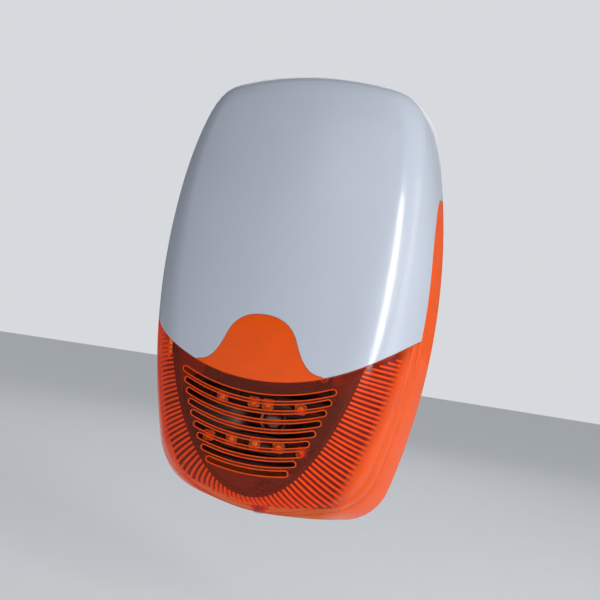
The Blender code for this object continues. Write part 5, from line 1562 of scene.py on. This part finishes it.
def make_strobe():
    """The two LED boards, with their square LED bodies, domes and solder tabs."""
    back = HORN_MOUTH_Y - GAP
    front = back - BOARD_THICKNESS
    seat = front - GAP
    turns = [2 * math.pi * step / 32 for step in range(32)]
    square = [squared(turn, 0.28)[::-1] for turn in turns]
    circle = [(math.cos(turn), math.sin(turn)) for turn in turns]
    levels = ((square, 0.00325, 0.0), (square, 0.00325, 0.0019), (square, 0.00300, 0.0022))
    levels += ((circle, 0.0027, 0.0022), (circle, 0.0023, 0.0010))
    dome = ((0, 0), (0.0021, 0), (0.00235, 0.0007), (0.0021, 0.0014), (0.0015, 0.0019), (0.0008, 0.0021))
    dome += ((0, 0.00215),)
    bodies, domes, tabs = bmesh.new(), bmesh.new(), bmesh.new()
    nodes = []
    for word, z, half, places in STRIPS:
        corners = about(0, z, half, STRIP_HEIGHT / 2, front, back)
        board = box_piece(f"strobe_board_{word}_detail", *corners, RESIN, 0.0003)
        for x in (0.004 - half, half - 0.004):
            cut(board, stud(x, z, back + 0.002, 0.0012, 0.006, 24))
        keep(board, "base", f"strobe_board_{word}")
        for number, x in enumerate(places, 1):
            nodes.append(f"led_{word}_{number}")
            rings = [
                [(x + a * size, seat - depth, z + b * size) for a, b in outline]
                for outline, size, depth in levels
            ]
            loft(bodies, rings, caps=(True, True))
            add_turned(domes, dome, (x, seat - 0.0008, z), OUTWARDS, 28)
            for side in (-1, 1):
                for shift in (-0.0017, 0.0017):
                    tab = about(x + side * 0.0035, z + shift, 0.0004, 0.0006, seat - 0.0009, front)
                    add_box(tabs, *tab, 0.0001)
    keep(from_bmesh("led_bodies", bodies, LED_BODY), "base", *nodes)
    keep(from_bmesh("led_domes", domes, LED_DOME), "base")
    keep(from_bmesh("led_tabs", tabs, SOLDER), "base")


# -------- camera, lights and floor


def set_camera():
    """The photograph's view. Its angles, distance and shift come from a fit to the object's outline."""
    azimuth, elevation, roll = math.radians(16.51), math.radians(-5.634), math.radians(8.829)
    target, distance = Vector((0, -0.0332, 0)), 0.4763
    level = math.cos(elevation)
    back = Vector((math.sin(azimuth) * level, -math.cos(azimuth) * level, math.sin(elevation)))
    right = Vector((math.cos(azimuth), math.sin(azimuth), 0))
    up = back.cross(right)
    rolled_right = right * math.cos(roll) + up * math.sin(roll)
    rolled_up = up * math.cos(roll) - right * math.sin(roll)
    camera = bpy.data.objects.new("camera", bpy.data.cameras.new("camera"))
    bpy.context.scene.collection.objects.link(camera)
    place = Matrix((rolled_right, rolled_up, back)).transposed().to_4x4()
    place.translation = target + back * distance
    camera.matrix_world = place
    camera.data.sensor_width = 36.0
    camera.data.lens = 44.82
    camera.data.shift_x = 0.0214
    camera.data.shift_y = -0.0182
    camera.data.clip_start = 0.01
    bpy.context.scene.camera = camera


def area_light(name, azimuth, elevation, distance, size, power, colour=(1, 1, 1)):
    """A softbox that faces the object. Its azimuth is counted from the front towards +X."""
    data = bpy.data.lights.new(name, "AREA")
    data.shape = "RECTANGLE"
    data.size, data.size_y = size
    data.energy = power
    data.color = colour
    obj = bpy.data.objects.new(name, data)
    bpy.context.scene.collection.objects.link(obj)
    turn, rise = math.radians(azimuth), math.radians(elevation)
    towards = Vector((math.sin(turn) * math.cos(rise), -math.cos(turn) * math.cos(rise), math.sin(rise)))
    obj.location = towards * distance
    obj.rotation_euler = towards.to_track_quat("Z", "Y").to_euler()


def set_lights():
    area_light("key", 54, 8, 1.1, (0.24, 0.9), 7.2)
    area_light("side", 95, 10, 1.0, (0.4, 0.8), 1.0)
    area_light("front", 10, 40, 1.4, (0.8, 0.5), 0.9, (0.94, 0.97, 1.0))
    area_light("top", 30, 85, 1.6, (1.6, 1.6), 2.4)
    area_light("rear", 190, 35, 1.5, (1.2, 0.8), 2.4)


def set_backdrop():
    """A dim bluish surround for the light, and a pale grey one for the camera."""
    world = bpy.data.worlds.new("studio")
    world.use_nodes = True
    tree = world.node_tree
    mix = tree.nodes.new("ShaderNodeMixShader")
    path = tree.nodes.new("ShaderNodeLightPath")
    tree.links.new(path.outputs["Is Camera Ray"], mix.inputs[0])
    lit, seen = tree.nodes["Background"], tree.nodes.new("ShaderNodeBackground")
    for socket, node, colour, strength in (
        (1, lit, (0.86, 0.93, 1.0, 1.0), 0.20),
        (2, seen, (0.74, 0.76, 0.79, 1.0), 0.92),
    ):
        node.inputs["Color"].default_value = colour
        node.inputs["Strength"].default_value = strength
        tree.links.new(node.outputs[0], mix.inputs[socket])
    tree.links.new(mix.outputs[0], tree.nodes["World Output"].inputs["Surface"])
    bpy.context.scene.world = world
    bpy.context.scene.view_settings.view_transform = "Standard"


def set_floor():
    """A plain pale floor under the wall-hung siren."""
    low = cad_low[2] - 0.085
    bm = bmesh.new()
    rings = []
    for radius in (0.2, 0.8, 3.0, 12.0):
        ring = [math.radians(angle) for angle in range(0, 360, 5)]
        rings.append([(radius * math.cos(angle), radius * math.sin(angle), low) for angle in ring])
    loft(bm, rings, caps=(True, False))
    pale = finish("floor", (0.80, 0.81, 0.82), 0.6, mottle=0.01, grain=300)
    shader = next(node for node in pale.node_tree.nodes if node.type == "BSDF_PRINCIPLED")
    shader.inputs["Emission Color"].default_value = (0.80, 0.83, 0.87, 1.0)
    shader.inputs["Emission Strength"].default_value = 0.26
    floor = from_bmesh("floor", bm, pale)


# -------- everything

set_camera()
set_lights()
set_backdrop()
set_floor()

smooth_whole = cover_loft("whole_smooth", False)
grooved_whole = cover_loft("whole_grooved", True)
make_cover(smooth_whole)
make_lens(grooved_whole)
for helper in (smooth_whole, grooved_whole):
    bpy.data.objects.remove(helper, do_unlink=True)
make_ledge()
make_slot_beads()
make_ribs()
make_shade_collar()
make_screws()
make_cover_screw()
make_base()
make_grommet_and_seal()
make_tamper_switch()
make_battery()
make_wires()
make_board()
make_horn()
make_driver()
make_strobe()
